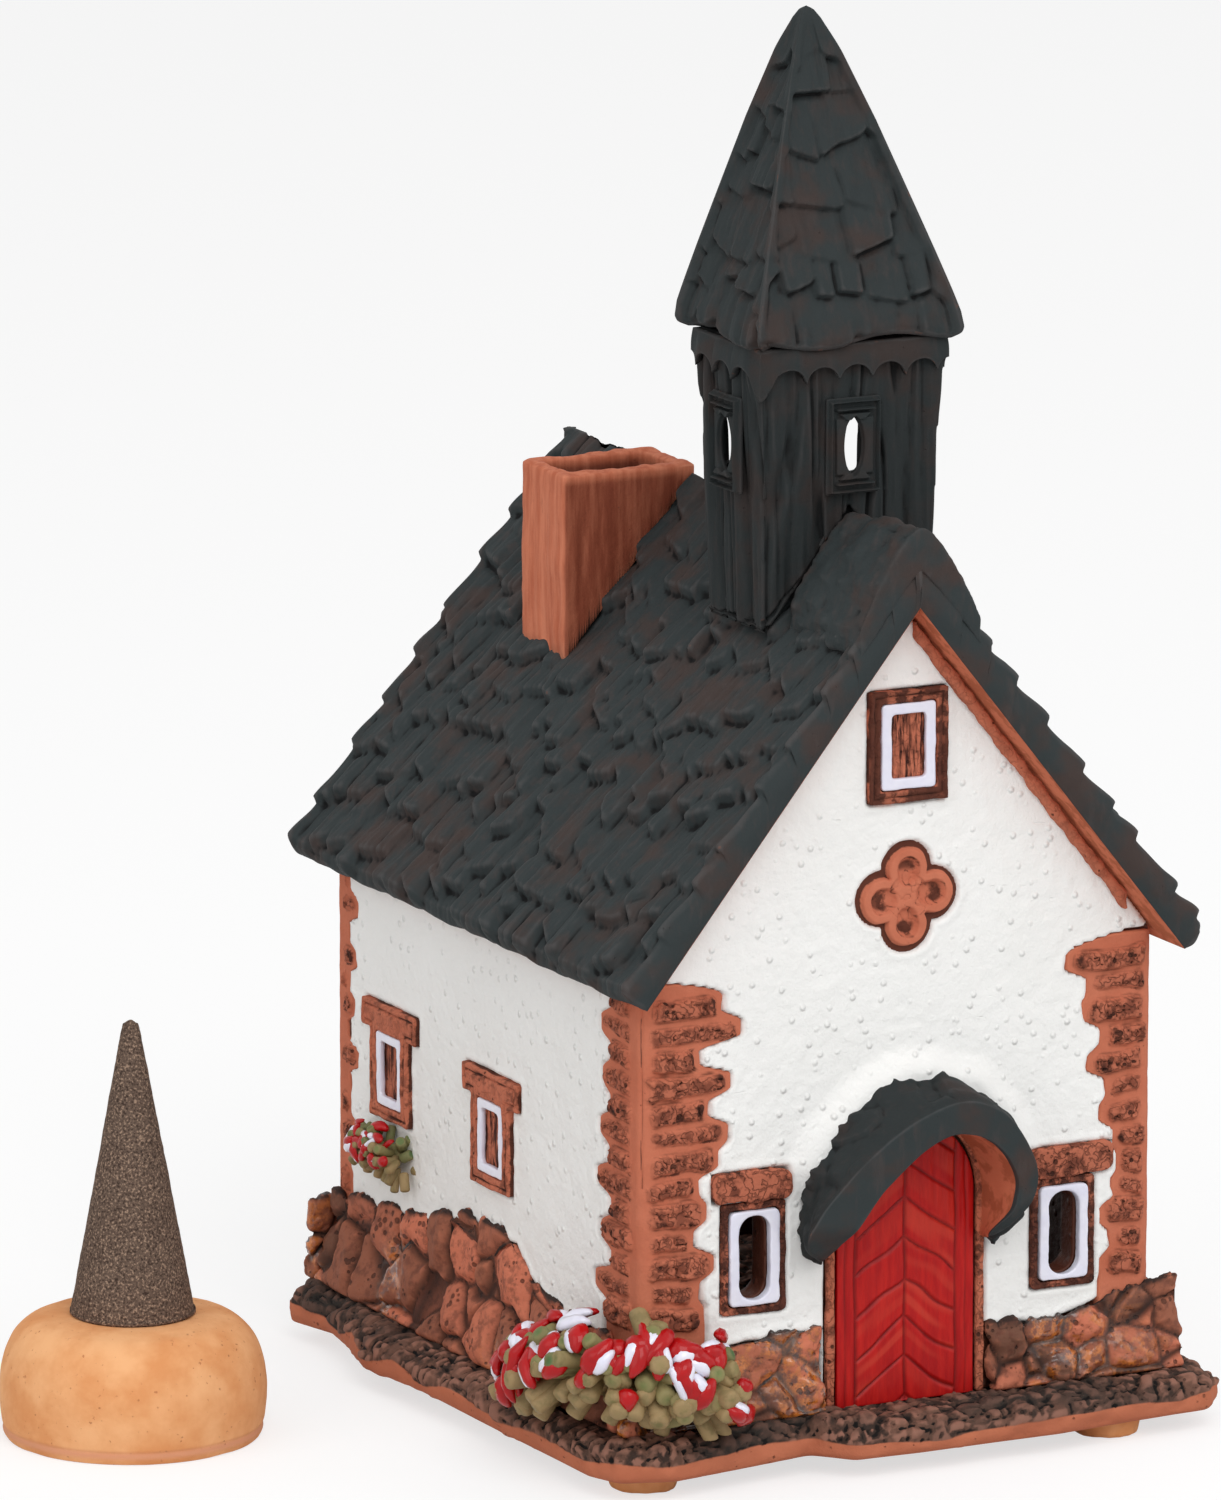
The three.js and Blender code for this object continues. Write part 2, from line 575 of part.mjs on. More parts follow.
// A mitred frame round a slit: high at the outer edge and sloping in to the opening
function slitFrame(name, turn, reach) {
  const rectangleAt = (width, height, y) => [[-1, -1], [1, -1], [1, 1], [-1, 1]].map(([u, v]) => (
    new THREE.Vector3((u * width) / 2, y, (v * height) / 2)));
  const rings = [
    rectangleAt(SLIT_FRAME_WIDTH, SLIT_FRAME_HEIGHT, 0),
    rectangleAt(SLIT_FRAME_WIDTH, SLIT_FRAME_HEIGHT, -SLIT_FRAME_DEPTH),
    rectangleAt(SLIT_WIDTH, SLIT_HEIGHT, -SLIT_FRAME_DEPTH / 2),
    rectangleAt(SLIT_WIDTH, SLIT_HEIGHT, 0),
  ];
  const frame = part(name, skin(rings, true), charcoal);
  const out = new THREE.Vector3(0, -reach, SLIT_Z).applyAxisAngle(new THREE.Vector3(0, 0, 1), turn);
  frame.rotation.z = turn;
  frame.position.copy(out);
  return frame;
}

function towerCornice() {
  const outer = shapeOf(corners(TOWER_HALF_X + CORNICE_PROUD, TOWER_HALF_Y + CORNICE_PROUD));
  outer.holes.push(shapeOf(corners(TOWER_HALF_X, TOWER_HALF_Y)));
  const band = new THREE.ExtrudeGeometry(outer, { depth: CORNICE_HEIGHT, bevelEnabled: false });
  const bottom = TOWER_TOP - CORNICE_HEIGHT;
  band.translate(0, 0, bottom);
  const notches = (half, count, reach, across) => Array.from({ length: count }, (_, i) => {
    const middle = half * ((2 * i + 1) / count - 1);
    const wide = (half / count) * 0.8;
    const below = bottom - SCALLOP_DEPTH;
    const line = [[middle - wide, below], [middle + wide, below], [middle + wide, bottom],
      [middle, bottom + SCALLOP_DEPTH], [middle - wide, bottom]];
    const notch = plate(shapeOf(line), reach * 2).translate(0, reach, 0);
    return across ? notch.rotateZ(Math.PI / 2) : notch;
  });
  const reach = TOWER_HALF_X * 2;
  const cutters = [...notches(TOWER_HALF_X, FRONT_SCALLOPS, reach, false),
    ...notches(TOWER_HALF_Y, SIDE_SCALLOPS, reach, true)];
  return part('tower_cornice', cut(band, cutters), charcoal);
}

function spire() {
  const height = SPIRE_TIP - TOWER_TOP - SPIRE_RIM;
  const ring = (up, sunk) => {
    const share = up / height;
    const width = (1 - share) * (1 + SPIRE_BULGE * share * (1 - share) * 4);
    const halfX = Math.max(SPIRE_HALF_X * width - sunk, SPIRE_TIP_HALF);
    const halfY = Math.max(SPIRE_HALF_Y * width - sunk, SPIRE_TIP_HALF);
    const z = TOWER_TOP + SPIRE_RIM + up;
    return corners(halfX, halfY).map(([x, y]) => new THREE.Vector3(x + SPIRE_LEAN * share, y, z));
  };
  const rim = corners(SPIRE_HALF_X - SPIRE_STEP, SPIRE_HALF_Y - SPIRE_STEP);
  const rings = [ringAt(rim, TOWER_TOP), ring(0, 0)];
  for (let course = 1; course < SPIRE_COURSES; course += 1) {
    const up = (height * course) / SPIRE_COURSES;
    rings.push(ring(up, SPIRE_STEP), ring(up + SPIRE_STEP / 2, 0));
  }
  rings.push(ring(height, 0));
  return part('spire', skin(rings), charcoal);
}

function tower() {
  const group = new THREE.Group();
  group.position.y = TOWER_Y;
  group.add(towerBody(), towerCornice(), spire());
  const turns = { front: 0, right: Math.PI / 2, left: -Math.PI / 2 };
  Object.entries(turns).forEach(([side, turn]) => {
    group.add(slitFrame(`tower_window_${side}`, turn, side === 'front' ? TOWER_HALF_Y : TOWER_HALF_X));
  });
  return group;
}

function doorLeaf() {
  const shape = arch(new THREE.Shape(), DOOR_X, FLOOR_Z, DOOR_HALF - GAP, DOOR_SPRING);
  return part('door_leaf', plate(shape, DOOR_THICK, 14), redGlaze);
}

function doorFrame() {
  const shape = new THREE.Shape();
  shape.moveTo(DOOR_X + DOOR_HALF, FLOOR_Z);
  shape.lineTo(DOOR_X + DOOR_EDGE, FLOOR_Z);
  shape.absarc(DOOR_X, DOOR_SPRING, DOOR_EDGE, 0, Math.PI);
  shape.lineTo(DOOR_X - DOOR_EDGE, FLOOR_Z);
  shape.lineTo(DOOR_X - DOOR_HALF, FLOOR_Z);
  shape.absarc(DOOR_X, DOOR_SPRING, DOOR_HALF, Math.PI, 0, true);
  return part('door_frame', plate(shape, DOOR_FRAME_DEPTH, 14), terracotta);
}

// The canopy is a bent strip of clay: upright legs at the wall, curling in round the arch at its front edge
function porchCanopy() {
  const steps = 16;
  const reach = Math.PI / 2 + CANOPY_CURL;
  const section = (y, inner, thick, drop, curl) => {
    const edge = (radius) => Array.from({ length: steps + 1 }, (_, i) => {
      const angle = reach * ((2 * i) / steps - 1);
      const past = Math.max(Math.abs(angle) - Math.PI / 2, 0);
      const round = new THREE.Vector2(Math.sin(angle), Math.cos(angle));
      const straight = new THREE.Vector2(Math.sign(angle), -past);
      const spot = past > 0 ? straight.lerp(round, curl) : round;
      return new THREE.Vector3(DOOR_X + spot.x * radius, y, DOOR_SPRING - drop + spot.y * radius);
    });
    return [...edge(inner + thick), ...edge(inner).reverse()];
  };
  return part('porch_canopy', skinAlongY([
    section(-CANOPY_DEPTH, CANOPY_INNER - CANOPY_FRONT_SHRINK, CANOPY_THICK, CANOPY_DROP, 1),
    section(0, CANOPY_INNER, CANOPY_THICK, 0, 0),
  ]), charcoal);
}

function heightOn(outline, along) {
  const next = outline.findIndex(([place], i) => i > 0 && (place >= along || i === outline.length - 1));
  const [[from, low], [to, high]] = outline.slice(next - 1, next + 1);
  return THREE.MathUtils.mapLinear(along, from, to, low, high);
}

// Two rows of rough stones, each with a bulge: flat on the slab and the wall, leaning out to their foot
function plinth(name, outline, depth) {
  const start = outline[0][0];
  const length = outline.at(-1)[0] - start;
  const halves = Math.round(length / (PLINTH_STONE / 2));
  const rings = Array.from({ length: halves + 1 }, (_, half) => {
    const along = start + (length * half) / halves;
    const height = heightOn(outline, along);
    const swell = half % 2 ? PLINTH_BULGE : -PLINTH_BULGE;
    const front = [[1, 0], [0.75, swell], [0.5, -PLINTH_BULGE], [0.25, -swell], [0, 0]];
    return [
      new THREE.Vector3(along, 0, FLOOR_Z), new THREE.Vector3(along, 0, FLOOR_Z + height),
      ...front.map(([share, bulge]) => new THREE.Vector3(
        along, -THREE.MathUtils.lerp(depth, PLINTH_TOP_DEPTH, share) - bulge, FLOOR_Z + height * share)),
    ];
  });
  const stood = rings.map((ring) => ring.map((p) => new THREE.Vector3(p.z, p.y, -p.x)));
  const geometry = skin(stood.reverse()).applyMatrix4(new THREE.Matrix4().makeRotationY(-Math.PI / 2));
  return part(name, geometry, terracotta);
}

const moved = (outline, start) => outline.map(([along, height]) => [start + along, height]);
const mirrored = (outline) => outline.map(([along, height]) => [-along, height]).reverse();

// One L-shaped stone course after another up a corner; x and y say which corner
function quoins(name, x, y, courses) {
  const wallY = y < 0 ? WALL_FRONT : WALL_BACK;
  const stones = courses.map(([gableShare, sideShare], i) => {
    const proud = QUOIN_PROUD - (i % 2) * QUOIN_SHALLOW;
    const alongGable = gableShare * QUOIN_LONGEST;
    const alongSide = sideShare * QUOIN_LONGEST;
    const outer = [WALL_X + proud, wallY + proud];
    const line = [[outer[0], outer[1]], [WALL_X - alongGable, outer[1]], [WALL_X - alongGable, wallY],
      [WALL_X, wallY], [WALL_X, wallY - alongSide], [outer[0], wallY - alongSide]];
    const shape = shapeOf(line.map(([u, v]) => [x * u, y * v]));
    const stone = new THREE.ExtrudeGeometry(shape, { depth: QUOIN_HEIGHT, bevelEnabled: false });
    return stone.translate(0, 0, QUOIN_BOTTOM + i * QUOIN_HEIGHT);
  });
  return part(name, join(stones), terracotta);
}

// A raised surround with a white frame inside it, both open to the slot in the wall
function frontWindow(side, [x, sill]) {
  const outer = new THREE.Shape();
  rectangle(outer, x, sill, WINDOW_WIDTH, WINDOW_HEIGHT, WINDOW_CORNER);
  const width = WINDOW_WIDTH - SURROUND_WIDTH * 2;
  const height = WINDOW_HEIGHT - SURROUND_WIDTH * 2;
  outer.holes.push(rectangle(new THREE.Path(), x, sill + SURROUND_WIDTH, width, height, WINDOW_CORNER));
  const frame = new THREE.Shape();
  rectangle(frame, x, sill + SURROUND_WIDTH + FIT, width - FIT * 2, height - FIT * 2, WINDOW_CORNER);
  frame.holes.push(slotShape([x, sill]));
  const lintelBottom = sill + WINDOW_HEIGHT + FIT;
  const near = DOOR_X + Math.sign(x) * (CANOPY_INNER + CANOPY_THICK + GAP);
  const far = x + Math.sign(x) * (WINDOW_WIDTH / 2 + LINTEL_EAR[side]);
  const lintel = new THREE.Shape();
  const middle = (near + far) / 2;
  rectangle(lintel, middle, lintelBottom, Math.abs(far - near), LINTEL_HEIGHT, LINTEL_CORNER);
  return [
    part(`front_window_${side}_surround`, plate(outer, SURROUND_DEPTH, 3), terracotta),
    part(`front_window_${side}_frame`, plate(frame, FRAME_DEPTH, 3), whiteGlaze),
    part(`front_window_${side}_lintel`, plate(lintel, LINTEL_DEPTH, 3), terracotta),
  ];
}

// A closed window: a tile with a raised rim, and a white frame laid in it that shows the pane
function closedWindow(name, outline, opening) {
  const rim = shapeOf(outline);
  const { x, bottom, width, height, rail } = opening;
  rim.holes.push(rectangle(new THREE.Path(), x, bottom, width, height, PANE_CORNER));
  const tile = join([plate(shapeOf(outline), PANE_DEPTH), plate(rim, SURROUND_DEPTH + PANE_DEPTH, 2)]);
  const frame = new THREE.Shape();
  rectangle(frame, x, bottom + FIT, width - FIT * 2, height - FIT * 2, PANE_CORNER);
  const light = new THREE.Path();
  frame.holes.push(rectangle(light, x, bottom + rail, width - rail * 2, height - rail * 2, PANE_CORNER));
  const white = plate(frame, FRAME_DEPTH - PANE_DEPTH, 2).translate(0, -PANE_DEPTH, 0);
  return [part(`${name}_surround`, tile, terracotta), part(`${name}_frame`, white, whiteGlaze)];
}

function gableWindow() {
  const { x, width, height, rim, rail } = GABLE_WINDOW;
  const half = width / 2;
  const top = GABLE_SILL + height;
  const outline = [[x - half, GABLE_SILL], [x + half, GABLE_SILL], [x + half, top], [x - half, top]];
  const opening = { x, bottom: GABLE_SILL + rim, width: width - rim * 2, height: height - rim * 2, rail };
  return closedWindow('gable_window', outline, opening);
}

function sideWindow(name, x, sill) {
  const { width, height, rim, rail, ear, headHeight } = SIDE_WINDOW;
  const half = width / 2;
  const head = sill + height - headHeight;
  const top = sill + height;
  const right = [[half, sill], [half, head], [half + ear, head], [half + ear, top]];
  const left = right.map(([across, z]) => [-across, z]).reverse();
  const outline = [...right, ...left].map(([across, z]) => [x + across, z]);
  const opening = { x, bottom: sill + rim, width: width - rim * 2, height: height - headHeight - rim, rail };
  return closedWindow(name, outline, opening);
}

function foilShape(size, hole) {
  const outline = hole ? new THREE.Path() : new THREE.Shape();
  const lobe = FOIL_RADIUS * size;
  const spread = FOIL_OFFSET * size;
  const meet = (spread + Math.sqrt(2 * lobe ** 2 - spread ** 2)) / 2;
  const open = Math.PI - Math.atan2(meet, spread - meet);
  for (let i = 0; i < 4; i += 1) {
    const turn = (i * Math.PI) / 2;
    const x = FOIL_X + spread * Math.cos(turn);
    const z = FOIL_Z + spread * Math.sin(turn);
    outline.absarc(x, z, lobe, turn - open, turn + open);
  }
  return outline;
}

function quatrefoil() {
  const rim = foilShape(1, false);
  rim.holes.push(foilShape(FOIL_INNER_SHARE, true));
  const tile = plate(foilShape(1, false), FOIL_DEPTH - FOIL_RECESS, 5);
  return part('quatrefoil', join([tile, plate(rim, FOIL_DEPTH, 5)]), terracotta);
}

// A short coil of clay that points from a root towards a tip
function stem(root, tip, radius) {
  const way = tip.clone().sub(root);
  const coil = new THREE.CylinderGeometry(radius * STEM_TAPER, radius, way.length(), 5);
  coil.translate(0, way.length() / 2, 0);
  const up = new THREE.Vector3(0, 1, 0);
  coil.applyQuaternion(new THREE.Quaternion().setFromUnitVectors(up, way.normalize()));
  return coil.translate(root.x, root.y, root.z);
}

function flowerBush() {
  const route = new THREE.CatmullRomCurve3(BUSH_ROUTE.map((point) => new THREE.Vector3(...point)));
  const corner = new THREE.Vector3(1 - WALL_X, 1 - WALL_FRONT, FLOOR_Z);
  const spine = Array.from({ length: BUSH_BALLS }, (_, i) => {
    const { x, y, z } = route.getPoint(i / (BUSH_BALLS - 1));
    return new THREE.SphereGeometry(BUSH_BALL_RADIUS, 7, 5).translate(x, y, z);
  });
  const stems = Array.from({ length: BUSH_STEMS }, (_, i) => {
    const root = route.getPoint((i + 0.5) / BUSH_STEMS);
    const out = root.clone().sub(corner).normalize();
    out.z = BUSH_STEM_RISES[i % BUSH_STEM_RISES.length];
    const tip = root.clone().addScaledVector(out.normalize(), BUSH_STEM_REACH + (i % 3));
    return stem(root, tip, BUSH_STEM_RADIUS);
  });
  const bush = join([...spine, ...stems]);
  const floor = FLOOR_Z + GAP;
  const far = WALL_X * 3;
  const gable = WALL_FRONT + PLINTH_FRONT_DEPTH + GAP;
  const flank = WALL_X + PLINTH_SIDE_DEPTH + GAP;
  const stones = Math.max(...PLINTH_SIDE.map(([, height]) => height)) + FLOOR_Z + GAP;
  const proud = QUOIN_PROUD + GAP;
  return part('flower_bush', lump(cut(bush, [
    box(-far, far, -far, far, FLOOR_Z - far, floor),
    box(-flank, far, -gable, far, FLOOR_Z - 1, stones),
    box(-WALL_X - proud, far, -WALL_FRONT - proud, far, FLOOR_Z - 1, far),
  ])), mossGreen);
}

// Clump of flowers on the left wall, drawn in that wall's own view
function windowFlowers() {
  const stems = Array.from({ length: FLOWERS_STEMS }, (_, i) => {
    const across = FLOWERS_HALF * ((2 * i + 1) / FLOWERS_STEMS - 1);
    const root = new THREE.Vector3(-FLOWERS_X + across * 0.6, 0, FLOWERS_Z + 0.5);
    const lift = FLOWERS_LIFTS[i % FLOWERS_LIFTS.length] * FLOWERS_DEPTH;
    const out = FLOWERS_DEPTH - (i % 2) * FLOWERS_STEM_RADIUS / 2;
    const tip = new THREE.Vector3(-FLOWERS_X + across, -out, FLOWERS_Z + lift);
    return stem(root, tip, FLOWERS_STEM_RADIUS);
  });
  const middle = new THREE.SphereGeometry(1, 8, 6);
  middle.scale(FLOWERS_HALF * 0.75, FLOWERS_DEPTH * 0.7, FLOWERS_DEPTH);
  const clump = join([middle.translate(-FLOWERS_X, 0, FLOWERS_Z), ...stems]);
  const far = WALL_X * 3;
  const sill = SIDE_WINDOWS.rear[1] - GAP;
  return part('window_flowers', lump(cut(clump, [
    box(-far, far, 0, far, 0, far),
    box(-far, far, -PANE_DEPTH - SURROUND_DEPTH - GAP, far, sill, far),
  ])), mossGreen);
}

function turned(points, segments) {
  const lathe = new THREE.LatheGeometry(points.map(([r, z]) => new THREE.Vector2(r, z)), segments);
  return lathe.rotateX(Math.PI / 2);
}

function holder() {
  const r = HOLDER_RADIUS;
  const h = HOLDER_HEIGHT;
  const side = [[0.975, 0.14], [1, 0.34], [0.985, 0.56], [0.92, 0.78], [0.79, 0.94]];
  const profile = [
    [0, 0], [HOLDER_FOOT - EDGE_ROUND, 0], [HOLDER_FOOT, EDGE_ROUND],
    ...side.map(([u, v]) => [r * u, h * v]), [HOLDER_SEAT, h], [0, h],
  ];
  return part('incense_holder', turned(profile, 36), paleClay);
}

function cone() {
  const base = HOLDER_HEIGHT;
  const profile = [[0, base], [CONE_RADIUS - EDGE_ROUND, base], [CONE_RADIUS, base + EDGE_ROUND],
    [CONE_TIP, base + CONE_HEIGHT - CONE_TIP / 2], [0, base + CONE_HEIGHT]];
  return part('incense_cone', turned(profile, 28), coneBrown);
}

// Pieces that lie on a wall are placed in that wall's own view
function onWall(turn, x, y, pieces) {
  const group = new THREE.Group();
  group.rotation.z = turn;
  group.position.set(x, y, 0);
  group.add(...pieces);
  return group;
}

function frontPieces() {
  const clear = DOOR_EDGE + GAP;
  const flank = WALL_X + PLINTH_SIDE_DEPTH;
  const left = PLINTH_FRONT_LEFT.map(([along, height], i, all) => (
    [i === all.length - 1 ? DOOR_X - clear : along - flank, height]));
  const right = PLINTH_FRONT_RIGHT.map(([along, height], i, all) => (
    [i === all.length - 1 ? flank : DOOR_X + clear + along, height]));
  return [
    frontWall(), doorLeaf(), doorFrame(), porchCanopy(), quatrefoil(), ...gableWindow(),
    ...Object.entries(FRONT_WINDOWS).flatMap(([side, window]) => frontWindow(side, window)),
    plinth('plinth_front_left', left, PLINTH_FRONT_DEPTH),
    plinth('plinth_front_right', right, PLINTH_FRONT_DEPTH),
    bead('bead_front_left', -1), bead('bead_front_right', 1),
  ];
}

function backPieces() {
  const clear = REAR_DOOR_HALF + GAP;
  const flank = WALL_X + PLINTH_SIDE_DEPTH;
  const right = PLINTH_BACK.map(([along, height], i, all) => (
    [i === all.length - 1 ? flank : clear + along, height]));
  return [
    backWall(), plinth('plinth_back_left', right, PLINTH_FRONT_DEPTH),
    plinth('plinth_back_right', mirrored(right), PLINTH_FRONT_DEPTH),
    bead('bead_back_left', 1), bead('bead_back_right', -1),
  ];
}

function sidePieces(side) {
  const hand = side === 'left' ? 1 : -1;
  const outline = hand > 0 ? PLINTH_SIDE : mirrored(PLINTH_SIDE);
  return [
    plinth(`plinth_${side}`, outline, PLINTH_SIDE_DEPTH),
    ...Object.entries(SIDE_WINDOWS).flatMap(([place, [x, sill]]) => (
      sideWindow(`${side}_window_${place}`, hand * x, sill))),
  ];
}

function house() {
  const group = new THREE.Group();
  group.add(
    baseSlab(), ...feet(), sideWall('left_wall', -1), sideWall('right_wall', 1),
    roof('roof_left', -1), roof('roof_right', 1), ridgeLump(), chimney(), tower(), flowerBush(),
    quoins('quoins_front_left', -1, -1, QUOIN_FRONT_LEFT),
    quoins('quoins_front_right', 1, -1, QUOIN_FRONT_RIGHT),
    quoins('quoins_back_left', -1, 1, QUOIN_REAR), quoins('quoins_back_right', 1, 1, QUOIN_REAR),
    onWall(0, 0, -WALL_FRONT, frontPieces()), onWall(Math.PI, 0, WALL_BACK, backPieces()),
    onWall(-Math.PI / 2, -WALL_X, 0, [...sidePieces('left'), windowFlowers()]),
    onWall(Math.PI / 2, WALL_X, 0, sidePieces('right')),
  );
  return group;
}

const incenseSet = new THREE.Group();
const standing = new THREE.Group();
standing.position.set(HOLDER_X, HOLDER_Y, 0);
standing.add(holder(), cone());
incenseSet.add(house(), standing);
incenseSet.position.set(SET_X, SET_Y, 0);

export default incenseSet;
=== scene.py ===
# A ceramic incense house: a white chapel with stone corners, a shingled roof, a bell tower and flowers at
# its corner, and beside it a clay holder with an incense cone. Shapes are drawn in millimetres about the
# middle of the house, with the ground at 0, and become the frame's metres when each piece is made.
import math

import bpy
import numpy as np
from mathutils import Matrix, Vector


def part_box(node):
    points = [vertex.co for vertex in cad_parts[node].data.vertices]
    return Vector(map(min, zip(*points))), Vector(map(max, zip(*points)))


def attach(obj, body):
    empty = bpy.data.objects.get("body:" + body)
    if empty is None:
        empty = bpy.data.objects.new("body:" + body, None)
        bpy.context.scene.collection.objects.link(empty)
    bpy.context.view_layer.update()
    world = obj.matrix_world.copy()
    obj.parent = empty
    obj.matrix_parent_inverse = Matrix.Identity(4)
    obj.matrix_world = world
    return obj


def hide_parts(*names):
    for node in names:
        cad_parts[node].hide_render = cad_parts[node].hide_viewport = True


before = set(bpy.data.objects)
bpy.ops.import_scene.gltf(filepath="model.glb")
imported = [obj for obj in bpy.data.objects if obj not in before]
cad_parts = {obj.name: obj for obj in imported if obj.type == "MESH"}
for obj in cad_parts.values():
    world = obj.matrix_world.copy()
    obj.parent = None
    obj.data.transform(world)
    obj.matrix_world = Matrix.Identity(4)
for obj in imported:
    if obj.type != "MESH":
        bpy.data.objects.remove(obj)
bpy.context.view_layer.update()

MM = 0.001
WALL_X = 30
WALL_FRONT = 37
WALL_BACK = 35.5
FLOOR_Z = 6
COARSER = 1

front_low, front_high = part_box("front_wall")
MIDDLE = np.array([(front_low.x + front_high.x) / 2, front_low.y + WALL_FRONT * MM, 0])


# Reading and making meshes

def house_box(node):
    """Lowest and highest corner of a CAD node, in millimetres about the middle of the house."""
    return [(np.array(corner) - MIDDLE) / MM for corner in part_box(node)]


def mesh_of(name, points, face_sets):
    """A mesh from points and sets of faces; a set has a row of point numbers for each of its faces."""
    mesh = bpy.data.meshes.new(name)
    mesh.vertices.add(len(points))
    mesh.vertices.foreach_set("co", points.astype(np.float32).ravel())
    corners = np.concatenate([faces.ravel() for faces in face_sets])
    sizes = np.concatenate([np.full(len(faces), faces.shape[1]) for faces in face_sets])
    mesh.loops.add(len(corners))
    mesh.loops.foreach_set("vertex_index", corners.astype(np.int32))
    mesh.polygons.add(len(sizes))
    starts = np.concatenate([[0], np.cumsum(sizes)[:-1]])
    mesh.polygons.foreach_set("loop_start", starts.astype(np.int32))
    mesh.update(calc_edges=True)
    return mesh


def read_mesh(mesh):
    """The points of a mesh, and its faces in sets of the same size."""
    points = np.empty(len(mesh.vertices) * 3, np.float32)
    mesh.vertices.foreach_get("co", points)
    corners = np.empty(len(mesh.loops), np.int32)
    mesh.loops.foreach_get("vertex_index", corners)
    sizes = np.empty(len(mesh.polygons), np.int32)
    mesh.polygons.foreach_get("loop_total", sizes)
    starts = np.cumsum(sizes) - sizes
    sets = [corners[starts[sizes == size][:, None] + np.arange(size)] for size in np.unique(sizes)]
    return points.reshape(-1, 3).astype(float), sets


def placed(name, data):
    """A new object in the scene."""
    shape = bpy.data.objects.new(name, data)
    bpy.context.scene.collection.objects.link(shape)
    return shape


def changed(mesh, kind, **settings):
    """A mesh after one of Blender's modifiers."""
    shape = placed("shape", mesh)
    change = shape.modifiers.new("change", kind)
    for name, value in settings.items():
        setattr(change, name, value)
    graph = bpy.context.evaluated_depsgraph_get()
    made = bpy.data.meshes.new_from_object(shape.evaluated_get(graph))
    bpy.data.objects.remove(shape)
    return made


def evened(mesh, fineness):
    """The same solid with its surface in even squares."""
    made = changed(mesh, "REMESH", mode="VOXEL", voxel_size=fineness * COARSER)
    return read_mesh(made)


def form(node, fineness):
    """The solid of a CAD node in even squares, in millimetres about the middle of the house."""
    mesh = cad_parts[node].data.copy()
    mesh.transform(Matrix.Scale(1 / MM, 4) @ Matrix.Translation(-Vector(MIDDLE)))
    return evened(mesh, fineness)


def carved(points, face_sets, cutter_points, cutter_faces):
    """A solid with another one taken out of it."""
    cutter = placed("cutter", mesh_of("cutter", cutter_points, outward(cutter_points, cutter_faces)))
    body = mesh_of("body", points, outward(points, face_sets))
    made = changed(body, "BOOLEAN", operation="DIFFERENCE", solver="MANIFOLD", object=cutter)
    bpy.data.objects.remove(cutter)
    return read_mesh(made)


def grid_faces(rows, columns, closed_columns=False, closed_rows=False):
    """Square faces over a grid of points; a closed direction joins its end to its start."""
    spots = np.arange(rows * columns).reshape(rows, columns)
    if closed_columns:
        spots = np.column_stack([spots, spots[:, :1]])
    if closed_rows:
        spots = np.vstack([spots, spots[:1]])
    squares = [spots[:-1, :-1], spots[:-1, 1:], spots[1:, 1:], spots[1:, :-1]]
    return np.stack(squares, axis=-1).reshape(-1, 4)


def box_solid(low, high):
    """A plain block between two corners."""
    spots = np.array([[x, y, z] for z in (low[2], high[2]) for y in (low[1], high[1])
                      for x in (low[0], high[0])])
    faces = np.array([[0, 2, 3, 1], [4, 5, 7, 6], [0, 1, 5, 4],
                      [2, 6, 7, 3], [0, 4, 6, 2], [1, 3, 7, 5]])
    return spots.astype(float), [faces]


def outward(points, face_sets):
    """Faces turned so that they look out of the solid."""
    volume = 0
    for faces in face_sets:
        first = points[faces[:, 0]]
        for corner in range(1, faces.shape[1] - 1):
            crossed = np.cross(points[faces[:, corner]], points[faces[:, corner + 1]])
            volume += np.sum(first * crossed)
    return [faces[:, ::-1] for faces in face_sets] if volume < 0 else face_sets


def merged(parts):
    """Several meshes as one."""
    points = np.concatenate([part[0] for part in parts])
    start = 0
    sets = []
    for part_points, part_sets in parts:
        sets += [faces + start for faces in part_sets]
        start += len(part_points)
    sizes = sorted({faces.shape[1] for faces in sets})
    return points, [np.concatenate([faces for faces in sets if faces.shape[1] == size]) for size in sizes]


def edge_walk(rows, columns):
    """The point numbers once round the edge of a grid."""
    spots = np.arange(rows * columns).reshape(rows, columns)
    return np.concatenate([spots[0, :-1], spots[:-1, -1], spots[-1, :0:-1], spots[:0:-1, 0]])


def tube(rings):
    """A closed solid from rings of points, one after another, with a face over each end."""
    points = np.concatenate(rings)
    count = len(rings[0])
    ends = np.stack([np.arange(count)[::-1], len(points) - count + np.arange(count)])
    return points, [grid_faces(len(rings), count, closed_columns=True), ends]


def slab_between(front, back):
    """A closed solid between two grids of points."""
    rows, columns = front.shape[:2]
    edge = edge_walk(rows, columns)
    following = np.roll(edge, -1)
    behind = rows * columns
    face = grid_faces(rows, columns)
    rim = np.stack([following, edge, edge + behind, following + behind], axis=1)
    points = np.concatenate([front.reshape(-1, 3), back.reshape(-1, 3)])
    return points, [np.concatenate([face, face[:, ::-1] + behind, rim])]


def curve_through(knots, count):
    """A smooth line through a few places."""
    knots = np.array(knots, float)
    padded = np.vstack([2 * knots[0] - knots[1], knots, 2 * knots[-1] - knots[-2]])
    result = []
    spans = len(knots) - 1
    for at in np.linspace(0, spans - 1e-9, count):
        i = int(at)
        t = at - i
        a, b, c, d = padded[i:i + 4]
        result.append(0.5 * (2 * b + (c - a) * t + (2 * a - 5 * b + 4 * c - d) * t**2
                             + (3 * b - a - 3 * c + d) * t**3))
    return np.array(result)


def evenly(line, count):
    """The same line with its points an even distance apart."""
    gone = np.concatenate([[0], np.cumsum(np.linalg.norm(np.diff(line, axis=0), axis=1))])
    places = np.linspace(0, gone[-1], count)
    return np.stack([np.interp(places, gone, line[:, axis]) for axis in range(line.shape[1])], axis=1)


# Working over a surface

